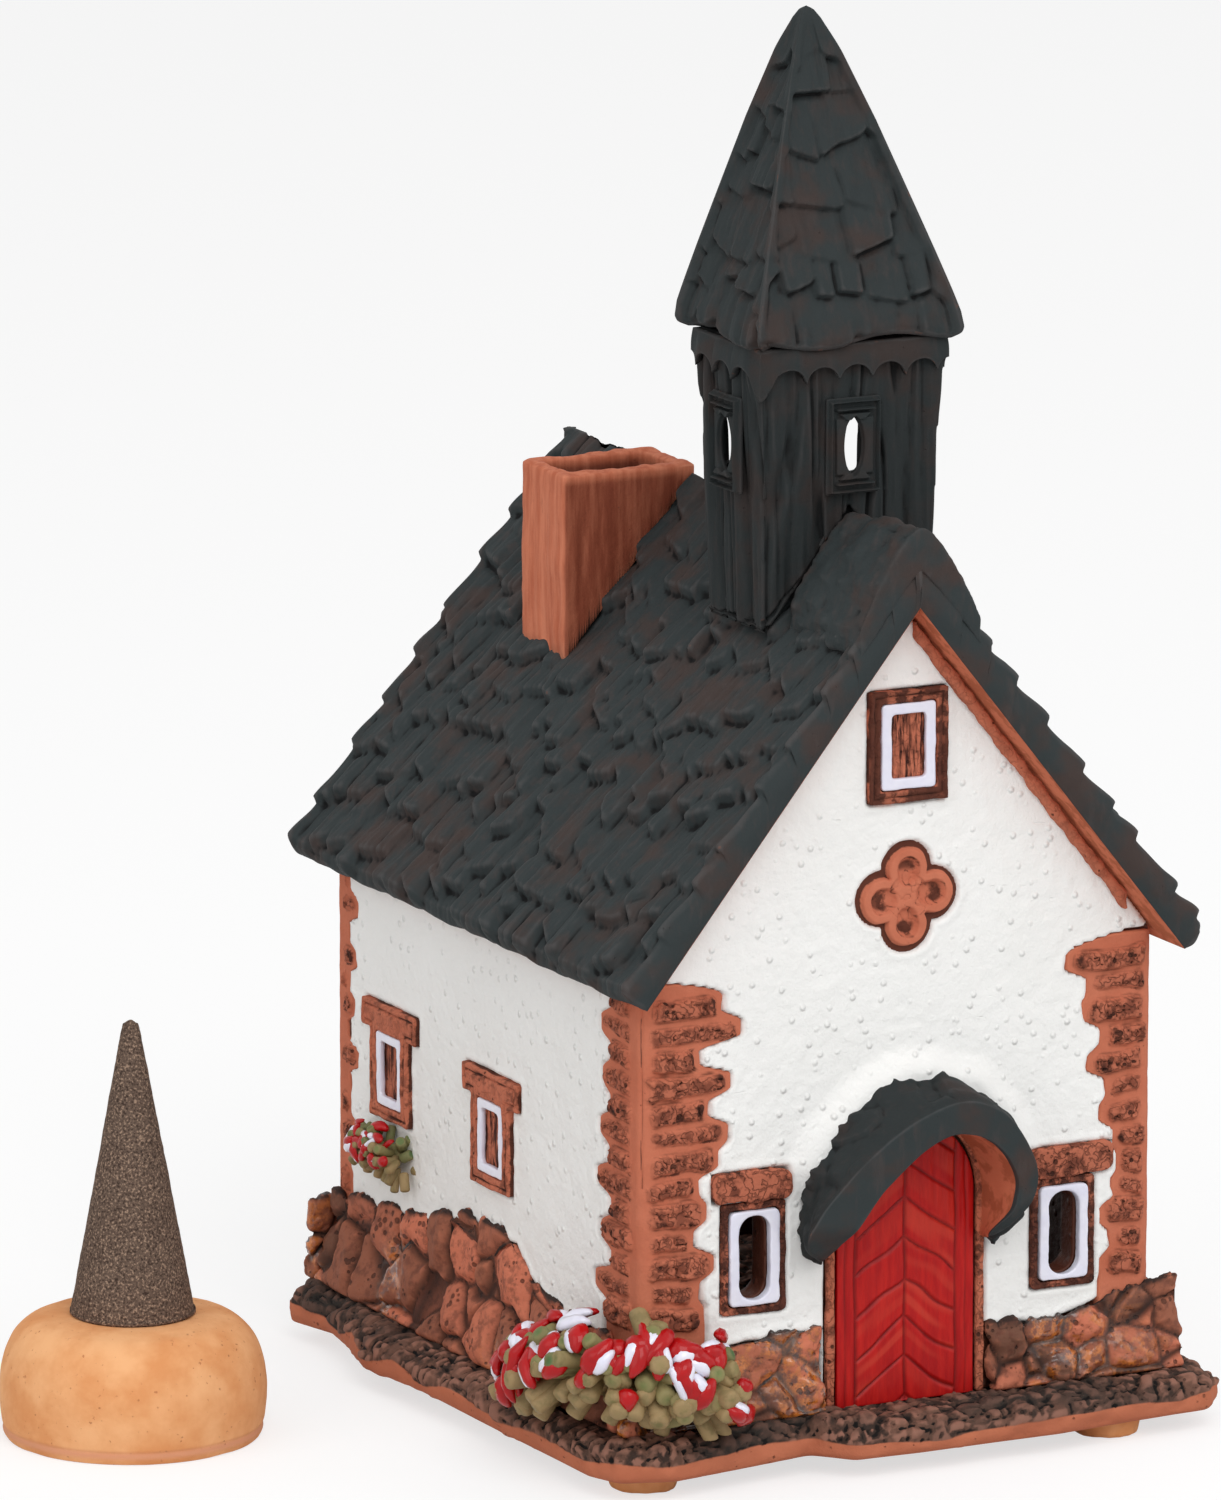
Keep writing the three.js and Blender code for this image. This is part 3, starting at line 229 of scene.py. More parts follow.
def facing(points, face_sets):
    """The direction that each point of a surface faces."""
    total = np.zeros_like(points)
    for faces in face_sets:
        if faces.shape[1] > 4:
            continue
        spread = np.cross(points[faces[:, 2]] - points[faces[:, 0]],
                          points[faces[:, -1]] - points[faces[:, 1]])
        for corner in range(faces.shape[1]):
            for axis in range(3):
                total[:, axis] += np.bincount(faces[:, corner], spread[:, axis], len(points))
    return total / np.maximum(np.linalg.norm(total, axis=1, keepdims=True), 1e-9)


def relaxed(points, face_sets, rounds, strength=0.5):
    """Each point moved towards its neighbours, several times over."""
    pairs = [np.stack([faces[:, i - 1], faces[:, i]], axis=1) for faces in face_sets
             for i in range(faces.shape[1]) if faces.shape[1] < 5]
    ends = np.concatenate(pairs)
    ends = np.concatenate([ends, ends[:, ::-1]])
    count = np.maximum(np.bincount(ends[:, 0], minlength=len(points)), 1)
    result = points.copy()
    for _ in range(rounds):
        for axis in range(3):
            pull = np.bincount(ends[:, 0], result[ends[:, 1], axis], len(points)) / count
            result[:, axis] += strength * (pull - result[:, axis])
    return result


def surface(node, fineness, rounds):
    """A CAD node's solid in even squares, softened, with the way that each of its points faces."""
    points, sets = form(node, fineness)
    points = relaxed(points, sets, rounds)
    return points, sets, facing(points, sets)


def smooth(share):
    """An even rise from 0 to 1."""
    share = np.clip(share, 0, 1)
    return share * share * (3 - 2 * share)


def chance(cells, seed):
    """A repeatable number from 0 to 1 for each whole-numbered cell."""
    mixed = cells @ np.array([73856093, 19349663, 83492791]) + seed * 97 + 17
    for factor in (2246822519, 3266489917):
        mixed = ((mixed ^ (mixed >> 15)) * factor) & 0xFFFFFFFF
    return ((mixed ^ (mixed >> 16)) & 0xFFFFFF) / 0xFFFFFF


def noise(points, size, seed):
    """Smooth noise from -1 to 1 with bumps of a given size, which may differ by axis."""
    spot = points / size
    cell = np.floor(spot).astype(np.int64)
    part = smooth(spot - cell)
    total = np.zeros(len(points))
    for corner in np.ndindex(2, 2, 2):
        share = np.prod(np.where(corner, part, 1 - part), axis=1)
        total += share * chance(cell + corner, seed)
    return total * 2 - 1


def rough(points, size, seed, layers=3):
    """Noise in layers, each half the size and height of the last."""
    total = sum(noise(points, np.array(size) / 2**i, seed + i) / 2**i for i in range(layers))
    return total / (2 - 0.5**(layers - 1))


def stones(points, size, seed):
    """Packed stones: how far each point is from a joint, and a number from 0 to 1 for its stone."""
    spot = points / size
    cell = np.floor(spot).astype(np.int64)
    nearest = np.full(len(points), 9.0)
    second = nearest.copy()
    own = np.zeros(len(points))
    for step in np.ndindex(3, 3, 3):
        other = cell + step - 1
        middle = other + np.stack([0.15 + 0.7 * chance(other, seed + axis) for axis in range(3)], axis=1)
        reach = np.linalg.norm(spot - middle, axis=1)
        second = np.minimum(second, np.maximum(reach, nearest))
        own = np.where(reach < nearest, chance(other, seed + 3), own)
        nearest = np.minimum(nearest, reach)
    return second - nearest, own


# Materials

def rgb(red, green, blue):
    """A screen colour in the linear numbers that materials use."""
    shares = [value / 255 for value in (red, green, blue)]
    return [s / 12.92 if s < 0.04045 else ((s + 0.055) / 1.055) ** 2.4 for s in shares] + [1]


def feed(tree, socket, value):
    """Gives an input a value, or joins another node's output to it."""
    if isinstance(value, bpy.types.NodeSocket):
        tree.links.new(value, socket)
    else:
        socket.default_value = value


def add(tree, kind, settings=None, **inputs):
    """A node with its settings and inputs; an input is a value or another node's output."""
    node = tree.nodes.new("ShaderNode" + kind)
    for name, value in (settings or {}).items():
        setattr(node, name, value)
    for name, value in inputs.items():
        feed(tree, node.inputs[name.replace("_", " ")], value)
    return node


def sums(tree, operation, first, second=0.0):
    """One sum on two values."""
    node = tree.nodes.new("ShaderNodeMath")
    node.operation = operation
    for socket, value in zip(node.inputs, (first, second)):
        feed(tree, socket, value)
    return node.outputs[0]


def times(tree, first, second):
    """One value times another."""
    return sums(tree, "MULTIPLY", first, second)


def plus(tree, first, second):
    """One value and another."""
    return sums(tree, "ADD", first, second)


def minus(tree, first, second):
    """One value less another."""
    return sums(tree, "SUBTRACT", first, second)


def rise(tree, value, low, high):
    """A smooth share from 0 at low to 1 at high."""
    node = add(tree, "MapRange", {"interpolation_type": "SMOOTHSTEP"})
    tree.links.new(value, node.inputs["Value"])
    node.inputs["From Min"].default_value = low
    node.inputs["From Max"].default_value = high
    return node.outputs["Result"]


def blend(tree, share, first, second):
    """A colour between two others."""
    node = tree.nodes.new("ShaderNodeMix")
    node.data_type = "RGBA"
    for at, value in ((0, share), (6, first), (7, second)):
        feed(tree, node.inputs[at], value)
    return node.outputs[2]


def tint(tree, color, share, amount, shade):
    """A colour drawn towards a shade, by the given amount where the share is 1."""
    return blend(tree, times(tree, share, amount), color, shade)


def spot_of(tree):
    """The place on the piece, in millimetres."""
    place = add(tree, "TexCoord").outputs["Object"]
    return add(tree, "VectorMath", {"operation": "SCALE"}, Vector=place, Scale=1 / MM).outputs["Vector"]


def cloud(tree, place, size, detail=3.0, stretch=None):
    """Noise from 0 to 1 in patches of a size in millimetres; stretch makes them longer along an axis."""
    if stretch:
        place = add(tree, "Mapping", Vector=place, Scale=[1 / s for s in stretch]).outputs["Vector"]
    return add(tree, "TexNoise", Vector=place, Scale=1 / size, Detail=detail, Roughness=0.6).outputs["Fac"]


def mark(tree, name):
    """A number that the mesh carries at each point."""
    return add(tree, "Attribute", {"attribute_name": name}).outputs["Fac"]


def new_group(name, inputs, outputs):
    """An empty node group with named inputs and outputs."""
    group = bpy.data.node_groups.new(name, "ShaderNodeTree")
    for side, sockets in (("INPUT", inputs), ("OUTPUT", outputs)):
        for socket, kind in sockets.items():
            group.interface.new_socket(socket, in_out=side, socket_type="NodeSocket" + kind)
    return group, group.nodes.new("NodeGroupInput").outputs, group.nodes.new("NodeGroupOutput").inputs


def make_patina():
    """Darkening that gathers in hollows, which is stain in some finishes and painted shade in others,
    and wear on what stands proud.
    """
    group, given, out = new_group("patina", {"Place": "Vector", "Hollow": "Float", "Depth": "Float"},
                                  {"StainAndShade": "Float", "Wear": "Float"})
    patches = cloud(group, given["Place"], 2.2, 4.0)
    wander = times(group, minus(group, patches, 0.5), 0.9)
    depth = plus(group, sums(group, "DIVIDE", given["Hollow"], given["Depth"]), wander)
    group.links.new(rise(group, depth, 0.15, 1.0), out["StainAndShade"])
    group.links.new(rise(group, times(group, depth, -1.0), 0.2, 1.1), out["Wear"])
    return group


def make_grain():
    """Fine tooth of fired clay with scattered pits."""
    group, given, out = new_group("clay grain", {"Place": "Vector", "Pits": "Float"},
                                  {"Height": "Float", "Pit": "Float"})
    fine = cloud(group, given["Place"], 0.35, 3.0)
    cells = add(group, "TexVoronoi", Vector=given["Place"], Scale=1.1, Randomness=1.0).outputs["Distance"]
    patches = cloud(group, given["Place"], 3.5, 2.0)
    size = times(group, rise(group, patches, 0.4, 0.68), given["Pits"])
    inside = minus(group, times(group, size, 0.42), cells)
    pit = rise(group, inside, 0.0, 0.14)
    group.links.new(pit, out["Pit"])
    group.links.new(minus(group, times(group, fine, 0.5), pit), out["Height"])
    return group


GROUPS = {"patina": make_patina(), "grain": make_grain()}


def use(tree, group, **inputs):
    """A placed node group."""
    node = tree.nodes.new("ShaderNodeGroup")
    node.node_tree = GROUPS[group]
    for name, value in inputs.items():
        feed(tree, node.inputs[name], value)
    return node.outputs


def patina_of(tree, place, depth):
    """The darkening in the hollows of a piece, which is stain in some finishes and painted shade in
    others, and its wear, from hollows of a depth in millimetres.
    """
    return use(tree, "patina", Place=place, Hollow=mark(tree, "hollow"), Depth=depth)


def grain_of(tree, place, pits):
    """The tooth of the clay, with more or fewer pits."""
    return use(tree, "grain", Place=place, Pits=pits)


def new_material(name, **settings):
    """A material, its shader and the place on the piece; a setting is a shader value the same all over."""
    material = bpy.data.materials.new(name)
    material.use_nodes = True
    tree = material.node_tree
    shader = tree.nodes["Principled BSDF"]
    for socket, value in settings.items():
        shader.inputs[socket.replace("_", " ")].default_value = value
    return material, tree, shader, spot_of(tree)


def finish_with(tree, shader, color, roughness, height=None, bump=0.1):
    """Joins colour, roughness and fine relief to a shader; bump is the relief in millimetres."""
    tree.links.new(color, shader.inputs["Base Color"])
    feed(tree, shader.inputs["Roughness"], roughness)
    if height is not None:
        relief = add(tree, "Bump", Height=height, Distance=bump * MM, Strength=1.0)
        tree.links.new(relief.outputs["Normal"], shader.inputs["Normal"])


def between(tree, share, low, high):
    """A value between two others."""
    return plus(tree, times(tree, share, high - low), low)


def charcoal_stain():
    """Dark engobe with brown clay worn through in patches, blacker where the mark sooty says, and bare clay
    where the mark bare says."""
    material, tree, shader, place = new_material("charcoal_stain", Specular_IOR_Level=0.15)
    patina = patina_of(tree, place, 0.13)
    broad = cloud(tree, place, 7.0, 3.0)
    brushed = cloud(tree, place, 1.4, 4.0, stretch=(1, 1, 4))
    color = blend(tree, rise(tree, broad, 0.46, 0.68), rgb(51, 57, 58), rgb(66, 56, 53))
    color = tint(tree, color, rise(tree, brushed, 0.5, 0.76), 0.5, rgb(78, 69, 67))
    color = tint(tree, color, patina["Wear"], 0.4, rgb(90, 88, 88))
    chips = rise(tree, times(tree, patina["Wear"], cloud(tree, place, 1.1, 2.0)), 0.6, 0.72)
    color = tint(tree, color, chips, 0.4, rgb(128, 84, 68))
    # Near black in the hollows: painted shade in crevices and under shingle ends, over some stain.
    color = tint(tree, color, patina["StainAndShade"], 0.95, rgb(12, 12, 13))
    patches = rise(tree, cloud(tree, place, 2.4, 3.0), 0.42, 0.56)
    clay = blend(tree, patches, rgb(172, 94, 66), rgb(200, 114, 84))
    color = tint(tree, color, mark(tree, "sooty"), 0.6, rgb(26, 27, 27))
    color = blend(tree, rise(tree, mark(tree, "bare"), 0.75, 0.95), color, clay)
    grain = grain_of(tree, place, 0.35)
    finish_with(tree, shader, color, between(tree, brushed, 0.6, 0.85), grain["Height"], 0.09)
    return material


def stained_terracotta():
    """Orange clay with dark brown stain rubbed into its pits and hollows. The mark stone says where it is
    roughest, dark where the stain lies thick and where shade is painted under the corner stones and in
    grooves and hollows, and streak where it was dragged downwards."""
    material, tree, shader, place = new_material("stained_terracotta", Specular_IOR_Level=0.15)
    stone = mark(tree, "stone")
    patina = patina_of(tree, place, 0.17)
    broad = cloud(tree, place, 6.0, 3.0)
    base = blend(tree, broad, rgb(188, 103, 76), rgb(214, 131, 102))
    base = tint(tree, base, stone, 0.4, rgb(158, 90, 70))
    grain = grain_of(tree, place, between(tree, stone, 0.3, 1.2))
    patches = rise(tree, cloud(tree, place, 1.4, 4.0), 0.44, 0.6)
    dark = times(tree, patches, between(tree, stone, 0.05, 0.75))
    color = blend(tree, dark, base, rgb(108, 58, 44))
    worms = sums(tree, "ABSOLUTE", minus(tree, cloud(tree, place, 1.0, 1.5), 0.5))
    worms = times(tree, rise(tree, worms, 0.045, 0.012), stone)
    color = tint(tree, color, worms, 0.5, rgb(84, 46, 36))
    color = tint(tree, color, grain["Pit"], 0.85, rgb(50, 28, 22))
    color = tint(tree, color, patina["Wear"], 0.5, rgb(214, 126, 94))
    drag = rise(tree, cloud(tree, place, 0.5, 3.0, stretch=(1, 1, 9)), 0.42, 0.6)
    color = blend(tree, times(tree, mark(tree, "streak"), drag), color, rgb(62, 32, 26))
    # The mark dark is thick stain, and painted shade under corner stones, in window grooves and hollows.
    thick = rise(tree, plus(tree, mark(tree, "dark"), times(tree, patches, 0.35)), 0.4, 0.9)
    color = tint(tree, color, thick, 0.85, rgb(56, 32, 27))
    color = tint(tree, color, patina["StainAndShade"], 0.85, rgb(46, 26, 20))
    height = minus(tree, grain["Height"], times(tree, worms, 0.8))
    finish_with(tree, shader, color, 0.78, height, 0.18)
    return material


def warm_terracotta():
    """Plain orange clay of the chimney, with brush marks and dark smears. The mark fired says where it is
    browner, and soot where it is black."""
    material, tree, shader, place = new_material("warm_terracotta", Specular_IOR_Level=0.3)
    patina = patina_of(tree, place, 0.2)
    brushed = cloud(tree, place, 1.2, 4.0, stretch=(1, 1, 9))
    color = blend(tree, rise(tree, brushed, 0.3, 0.7), rgb(184, 98, 68), rgb(212, 128, 96))
    smears = rise(tree, cloud(tree, place, 3.0, 4.0, stretch=(1, 1, 2)), 0.6, 0.72)
    color = tint(tree, color, smears, 0.35, rgb(120, 66, 48))
    color = tint(tree, color, patina["Wear"], 0.5, rgb(226, 150, 118))
    color = tint(tree, color, patina["StainAndShade"], 0.6, rgb(96, 50, 36))
    fired = times(tree, mark(tree, "fired"), between(tree, rise(tree, brushed, 0.3, 0.7), 0.95, 0.6))
    color = blend(tree, fired, color, rgb(122, 56, 36))
    color = blend(tree, mark(tree, "soot"), color, rgb(40, 30, 27))
    grain = grain_of(tree, place, 0.3)
    finish_with(tree, shader, color, 0.8, grain["Height"], 0.12)
    return material


def satin_white():
    """White engobe, brushed on thickly, with small bumps; bare clay where the mark raw says, dark brown
    partly as painted shade in the gaps round the pieces and in the reveals.
    """
    material, tree, shader, place = new_material("satin_white", Specular_IOR_Level=0.3)
    patina = patina_of(tree, place, 0.3)
    broad = cloud(tree, place, 14.0, 3.0)
    color = blend(tree, broad, rgb(245, 245, 242), rgb(252, 252, 250))
    color = tint(tree, color, patina["StainAndShade"], 0.3, rgb(200, 186, 164))
    # Dark brown bare clay: partly painted shade, in the gaps round the pieces and in the reveals.
    color = blend(tree, mark(tree, "raw"), color, rgb(92, 50, 36))
    fine = cloud(tree, place, 0.9, 4.0)
    specks = rise(tree, add(tree, "TexVoronoi", Vector=place, Scale=0.55).outputs["Distance"], 0.26, 0.06)
    scratches = rise(tree, cloud(tree, place, 0.9, 2.0, stretch=(3, 1, 1.4)), 0.7, 0.78)
    height = plus(tree, fine, specks)
    height = minus(tree, height, times(tree, scratches, 0.3))
    finish_with(tree, shader, color, between(tree, fine, 0.45, 0.6), height, 0.18)
    return material


def red_glaze():
    """Thin red over brushed clay, paler on each board as the mark plank says, and darker in the lines that
    the mark line gives."""
    material, tree, shader, place = new_material("red_glaze", Specular_IOR_Level=0.2, Coat_Weight=0.06,
                                                 Coat_Roughness=0.2)
    patina = patina_of(tree, place, 0.1)
    brushed = cloud(tree, place, 0.9, 4.0, stretch=(1, 1, 7))
    color = blend(tree, rise(tree, brushed, 0.3, 0.75), rgb(166, 10, 14), rgb(194, 28, 22))
    color = tint(tree, color, mark(tree, "plank"), 0.75, rgb(200, 62, 46))
    color = tint(tree, color, mark(tree, "line"), 0.6, rgb(112, 14, 14))
    color = tint(tree, color, patina["StainAndShade"], 0.5, rgb(96, 10, 14))
    finish_with(tree, shader, color, 0.5, brushed, 0.08)
    return material


def red_blossom():
    """Thick glossy red glaze of the flowers."""
    material, tree, shader, place = new_material("red_blossom", Specular_IOR_Level=0.1, Coat_Weight=0.4,
                                                 Coat_Roughness=0.05)
    color = blend(tree, cloud(tree, place, 2.4, 2.0), rgb(150, 4, 10), rgb(202, 14, 20))
    finish_with(tree, shader, color, 0.4, cloud(tree, place, 1.2, 1.0), 0.12)
    return material


def white_glaze():
    """Thick white glaze with a cool tinge, greyer in its hollows."""
    material, tree, shader, place = new_material("white_glaze", Coat_Weight=0.5, Coat_Roughness=0.12)
    patina = patina_of(tree, place, 0.2)
    color = blend(tree, cloud(tree, place, 2.0, 2.0), rgb(226, 226, 246), rgb(244, 243, 252))
    color = tint(tree, color, patina["StainAndShade"], 0.3, rgb(170, 156, 166))
    finish_with(tree, shader, color, 0.3, cloud(tree, place, 1.1, 1.0), 0.06)
    return material


def glazed_stone():
    """Rough stones in clay pink, brown and grey, some under amber glaze, with dark joints. The marks stone,
    joint, glaze and crest give each stone's own number, the joints, the glaze and the dark top band."""
    material, tree, shader, place = new_material("amber_glazed_stone", Specular_IOR_Level=0.25,
                                                 Coat_Roughness=0.07)
    stone = mark(tree, "stone")
    patina = patina_of(tree, place, 0.2)
    grain = grain_of(tree, place, 1.1)
    base = blend(tree, rise(tree, stone, 0.3, 0.65), rgb(208, 122, 94), rgb(152, 94, 72))
    base = blend(tree, rise(tree, stone, 0.78, 0.95), base, rgb(116, 78, 62))
    mottle = rise(tree, cloud(tree, place, 1.3, 4.0), 0.45, 0.65)
    base = tint(tree, base, mottle, 0.6, rgb(104, 62, 50))
    base = tint(tree, base, patina["Wear"], 0.5, rgb(214, 130, 100))
    glaze = times(tree, mark(tree, "glaze"), rise(tree, cloud(tree, place, 2.6, 3.0), 0.4, 0.56))
    honeyed = rise(tree, cloud(tree, place, 1.0, 3.0), 0.4, 0.6)
    amber = blend(tree, honeyed, rgb(112, 52, 22), rgb(206, 118, 46))
    color = blend(tree, glaze, base, amber)
    color = tint(tree, color, grain["Pit"], 0.7, rgb(52, 30, 24))
    dark = sums(tree, "MAXIMUM", patina["StainAndShade"], times(tree, mark(tree, "joint"), 0.9))
    color = blend(tree, dark, color, rgb(34, 22, 18))
    crest = times(tree, mark(tree, "crest"), rise(tree, cloud(tree, place, 1.2, 4.0), 0.3, 0.5))
    color = blend(tree, crest, color, rgb(50, 36, 32))
    roughness = between(tree, glaze, 0.8, 0.2)
    tree.links.new(glaze, shader.inputs["Coat Weight"])
    finish_with(tree, shader, color, roughness, grain["Height"], 0.16)
    return material


def slab_stone():
    """The base slab: crumbly brown and charcoal on top, and bare orange clay where the mark bare says."""
    material, tree, shader, place = new_material("slab_clay", Specular_IOR_Level=0.2)
    patina = patina_of(tree, place, 0.16)
    grain = grain_of(tree, place, 0.7)
    smears = cloud(tree, place, 3.0, 4.0)
    broad = cloud(tree, place, 12.0, 2.0)
    top = blend(tree, rise(tree, smears, 0.4, 0.6), rgb(60, 46, 40), rgb(118, 84, 70))
    top = tint(tree, top, patina["Wear"], 0.8, rgb(160, 114, 97))
    top = tint(tree, top, rise(tree, broad, 0.45, 0.65), 0.7, rgb(38, 40, 38))
    bare = blend(tree, cloud(tree, place, 5.0, 3.0), rgb(176, 100, 72), rgb(204, 124, 92))
    wander = plus(tree, mark(tree, "bare"), times(tree, smears, 0.5))
    color = blend(tree, rise(tree, wander, 0.6, 0.9), top, bare)
    color = blend(tree, patina["StainAndShade"], color, rgb(22, 19, 18))
    color = tint(tree, color, grain["Pit"], 0.5, rgb(36, 27, 24))
    finish_with(tree, shader, color, 0.85, grain["Height"], 0.16)
    return material


def moss_glaze():
    """Leaf coils in olive and green; the mark leaf picks the green of each coil."""
    material, tree, shader, place = new_material("moss_glaze", Specular_IOR_Level=0.25)
    patina = patina_of(tree, place, 0.16)
    leaf = mark(tree, "leaf")
    color = blend(tree, rise(tree, leaf, 0.35, 0.6), rgb(154, 134, 92), rgb(118, 128, 78))
    color = blend(tree, rise(tree, leaf, 0.72, 0.95), color, rgb(70, 106, 62))
    patches = rise(tree, cloud(tree, place, 1.4, 3.0), 0.46, 0.64)
    color = tint(tree, color, patches, 0.55, rgb(92, 98, 56))
    color = tint(tree, color, patina["Wear"], 0.3, rgb(176, 142, 106))
    # Near black in the hollows: painted shade in the gaps between the leaf coils.
    color = tint(tree, color, patina["StainAndShade"], 0.8, rgb(28, 26, 18))
    grain = grain_of(tree, place, 0.3)
    finish_with(tree, shader, color, 0.6, grain["Height"], 0.08)
    return material


def pale_clay():
    """Pale ochre clay with a few specks and pits, pinker where the mark bare says."""
    material, tree, shader, place = new_material("pale_clay", Specular_IOR_Level=0.2)
    patina = patina_of(tree, place, 0.2)
    broad = rise(tree, cloud(tree, place, 6.0, 4.0), 0.3, 0.7)
    color = blend(tree, broad, rgb(232, 158, 102), rgb(250, 188, 134))
    color = blend(tree, rise(tree, cloud(tree, place, 0.7, 3.0), 0.66, 0.74), color, rgb(206, 132, 86))
    color = blend(tree, mark(tree, "bare"), color, rgb(222, 156, 120))
    grain = grain_of(tree, place, 0.45)
    color = tint(tree, color, grain["Pit"], 0.5, rgb(172, 104, 68))
    color = tint(tree, color, patina["StainAndShade"], 0.4, rgb(176, 106, 72))
    finish_with(tree, shader, color, 0.85, grain["Height"], 0.07)
    return material


def incense_paste():
    """Pressed wood powder: brown, with a dense scatter of fine pale and dark flecks."""
    material, tree, shader, place = new_material("incense_paste", Specular_IOR_Level=0.15)
    flecks = cloud(tree, place, 0.26, 2.0)
    color = blend(tree, cloud(tree, place, 4.0, 3.0), rgb(94, 76, 66), rgb(112, 94, 82))
    color = tint(tree, color, rise(tree, flecks, 0.54, 0.66), 0.75, rgb(178, 150, 128))
    color = tint(tree, color, rise(tree, flecks, 0.46, 0.36), 0.8, rgb(52, 40, 35))
    finish_with(tree, shader, color, 0.95, flecks, 0.1)
    return material


# Each finish with its material and the CAD material slot that it belongs to
FINISHES = {
    "charcoal": (charcoal_stain(), "charcoal_stain"),
    "terracotta": (stained_terracotta(), "stained_terracotta"),
    "warm clay": (warm_terracotta(), "warm_terracotta"),
    "white": (satin_white(), "satin_white"),
    "door red": (red_glaze(), "red_glaze"),
    "blossom red": (red_blossom(), "red_glaze"),
    "white glaze": (white_glaze(), "white_glaze"),
    "stones": (glazed_stone(), "amber_glazed_stone"),
    "slab": (slab_stone(), "stained_terracotta"),
    "leaves": (moss_glaze(), "moss_glaze"),
    "pale clay": (pale_clay(), "pale_clay"),
    "incense": (incense_paste(), "incense_paste"),
}


# Rounds of smoothing that show where a surface is hollow
HOLLOW_ROUNDS = 6


def piece(name, points, face_sets, finish, stands_for=(), body="house", **marks):
    """Puts a finished mesh in the scene in place of its CAD nodes. A mark is a number for the material, at
    each point or the same all over."""
    face_sets = outward(points, face_sets)
    mesh = mesh_of(name, points * MM + MIDDLE, face_sets)
    mesh.polygons.foreach_set("use_smooth", np.ones(len(mesh.polygons), bool))
    settled = relaxed(points, face_sets, HOLLOW_ROUNDS)
    marks["hollow"] = np.sum((settled - points) * facing(points, face_sets), axis=1)
    for mark_name, values in marks.items():
        layer = mesh.attributes.new(mark_name, "FLOAT", "POINT")
        layer.data.foreach_set("value", np.asarray(values + np.zeros(len(points)), np.float32))
    material, slot = FINISHES[finish]
    mesh.materials.append(material)
    shape = placed(name, mesh)
    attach(shape, body)
    if stands_for:
        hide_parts(*stands_for)
    return shape


# Roof: shingles laid over a slab

ROOF_APEX = 98.2
EAVE_X = 34.8
EAVE_Z = 54.8
PITCH = math.atan2(ROOF_APEX - EAVE_Z, EAVE_X)
ROOF_LENGTH = math.hypot(ROOF_APEX - EAVE_Z, EAVE_X)
ROOF_THICK = 4
RIDGE_START = 0.94
RIDGE_ROUND = 1.25
RIDGE_LOW = -0.75
VERGE_FRONT = -41.5
VERGE_BACK = 39.5
COURSES = 9
SHINGLE_WIDTH = 3.1
SHINGLE_WANDER = 2.6
SHINGLE_REACH = 10.5
SHINGLE_SLOPE = 0.19
SHINGLE_DEPTH = 1.7
NOTCH_DEPTH = 0.75
RIDGE_FLAT_DROP = 1.2
LUMP_HALF = 7.2
LUMP_RISE = 2.3
LUMP_SINK = 2.2
ROOF_STEP = 0.235
SHINGLE_BLUR = 3
SKIRT_STEPS = 14
FLUE_WALL = 1.9
FLUE_REACH = 20


def roof_height(x):
    """Height of the roof's outer plane."""
    return ROOF_APEX - math.tan(PITCH) * np.abs(x)


def shingle_flaps(ends, low, high, width, wander, seed):
    """Where each shingle lies: its middle, its lower end, half its width, the slant of its end, its lift,
    and the gap beside it."""
    draw = np.random.default_rng(seed)
    flaps = []
    for end in ends:
        place = low - width * draw.random()
        while place < high:
            wide = width * draw.uniform(0.5, 1.5)
            flaps.append((place + wide / 2, end + draw.uniform(-wander, wander), wide / 2,
                          draw.uniform(-0.6, 0.6), draw.uniform(-0.4, 0.3), draw.uniform(-0.4, 0.16)))
            place += wide
    return flaps


def lay_shingles(down, across, flaps, depth):
    """Height of overlapping shingles above their slab, with a notch under the end of each."""
    height = np.full(down.shape, -float(depth))
    notches = np.zeros(down.shape)
    for middle, end, half, slant, lift, gap in flaps:
        aside = across - middle
        up = end + slant * aside - 0.35 * np.abs(aside / half) ** 6 - down
        inside = np.minimum(np.minimum(half - gap - np.abs(aside), up), SHINGLE_REACH - up)
        top = lift - SHINGLE_SLOPE * np.maximum(up, 0)
        np.maximum(height, -depth + (top + depth) * smooth(inside / 0.24), out=height)
        under = smooth(1 - np.abs(up + 0.3) / 0.5) * smooth((half * 0.9 - np.abs(aside)) / 0.4)
        np.maximum(notches, under * (0.5 + 1.3 * lift), out=notches)
    return height - NOTCH_DEPTH * np.maximum(notches, 0)


def softened(height, rounds):
    """A grid of heights with its edges blurred."""
    for _ in range(rounds):
        height[1:-1] = (height[:-2] + 2 * height[1:-1] + height[2:]) / 4
        height[:, 1:-1] = (height[:, :-2] + 2 * height[:, 1:-1] + height[:, 2:]) / 4
    return height


def roof_spot(side, down, height, y):
    """A place on a roof slab from its distance down the slope and its height over the outer plane."""
    x = side * np.maximum(down * math.cos(PITCH) + height * math.sin(PITCH), 0)
    z = ROOF_APEX - down * math.sin(PITCH) + height * math.cos(PITCH)
    return np.stack([x, y, z], axis=-1)


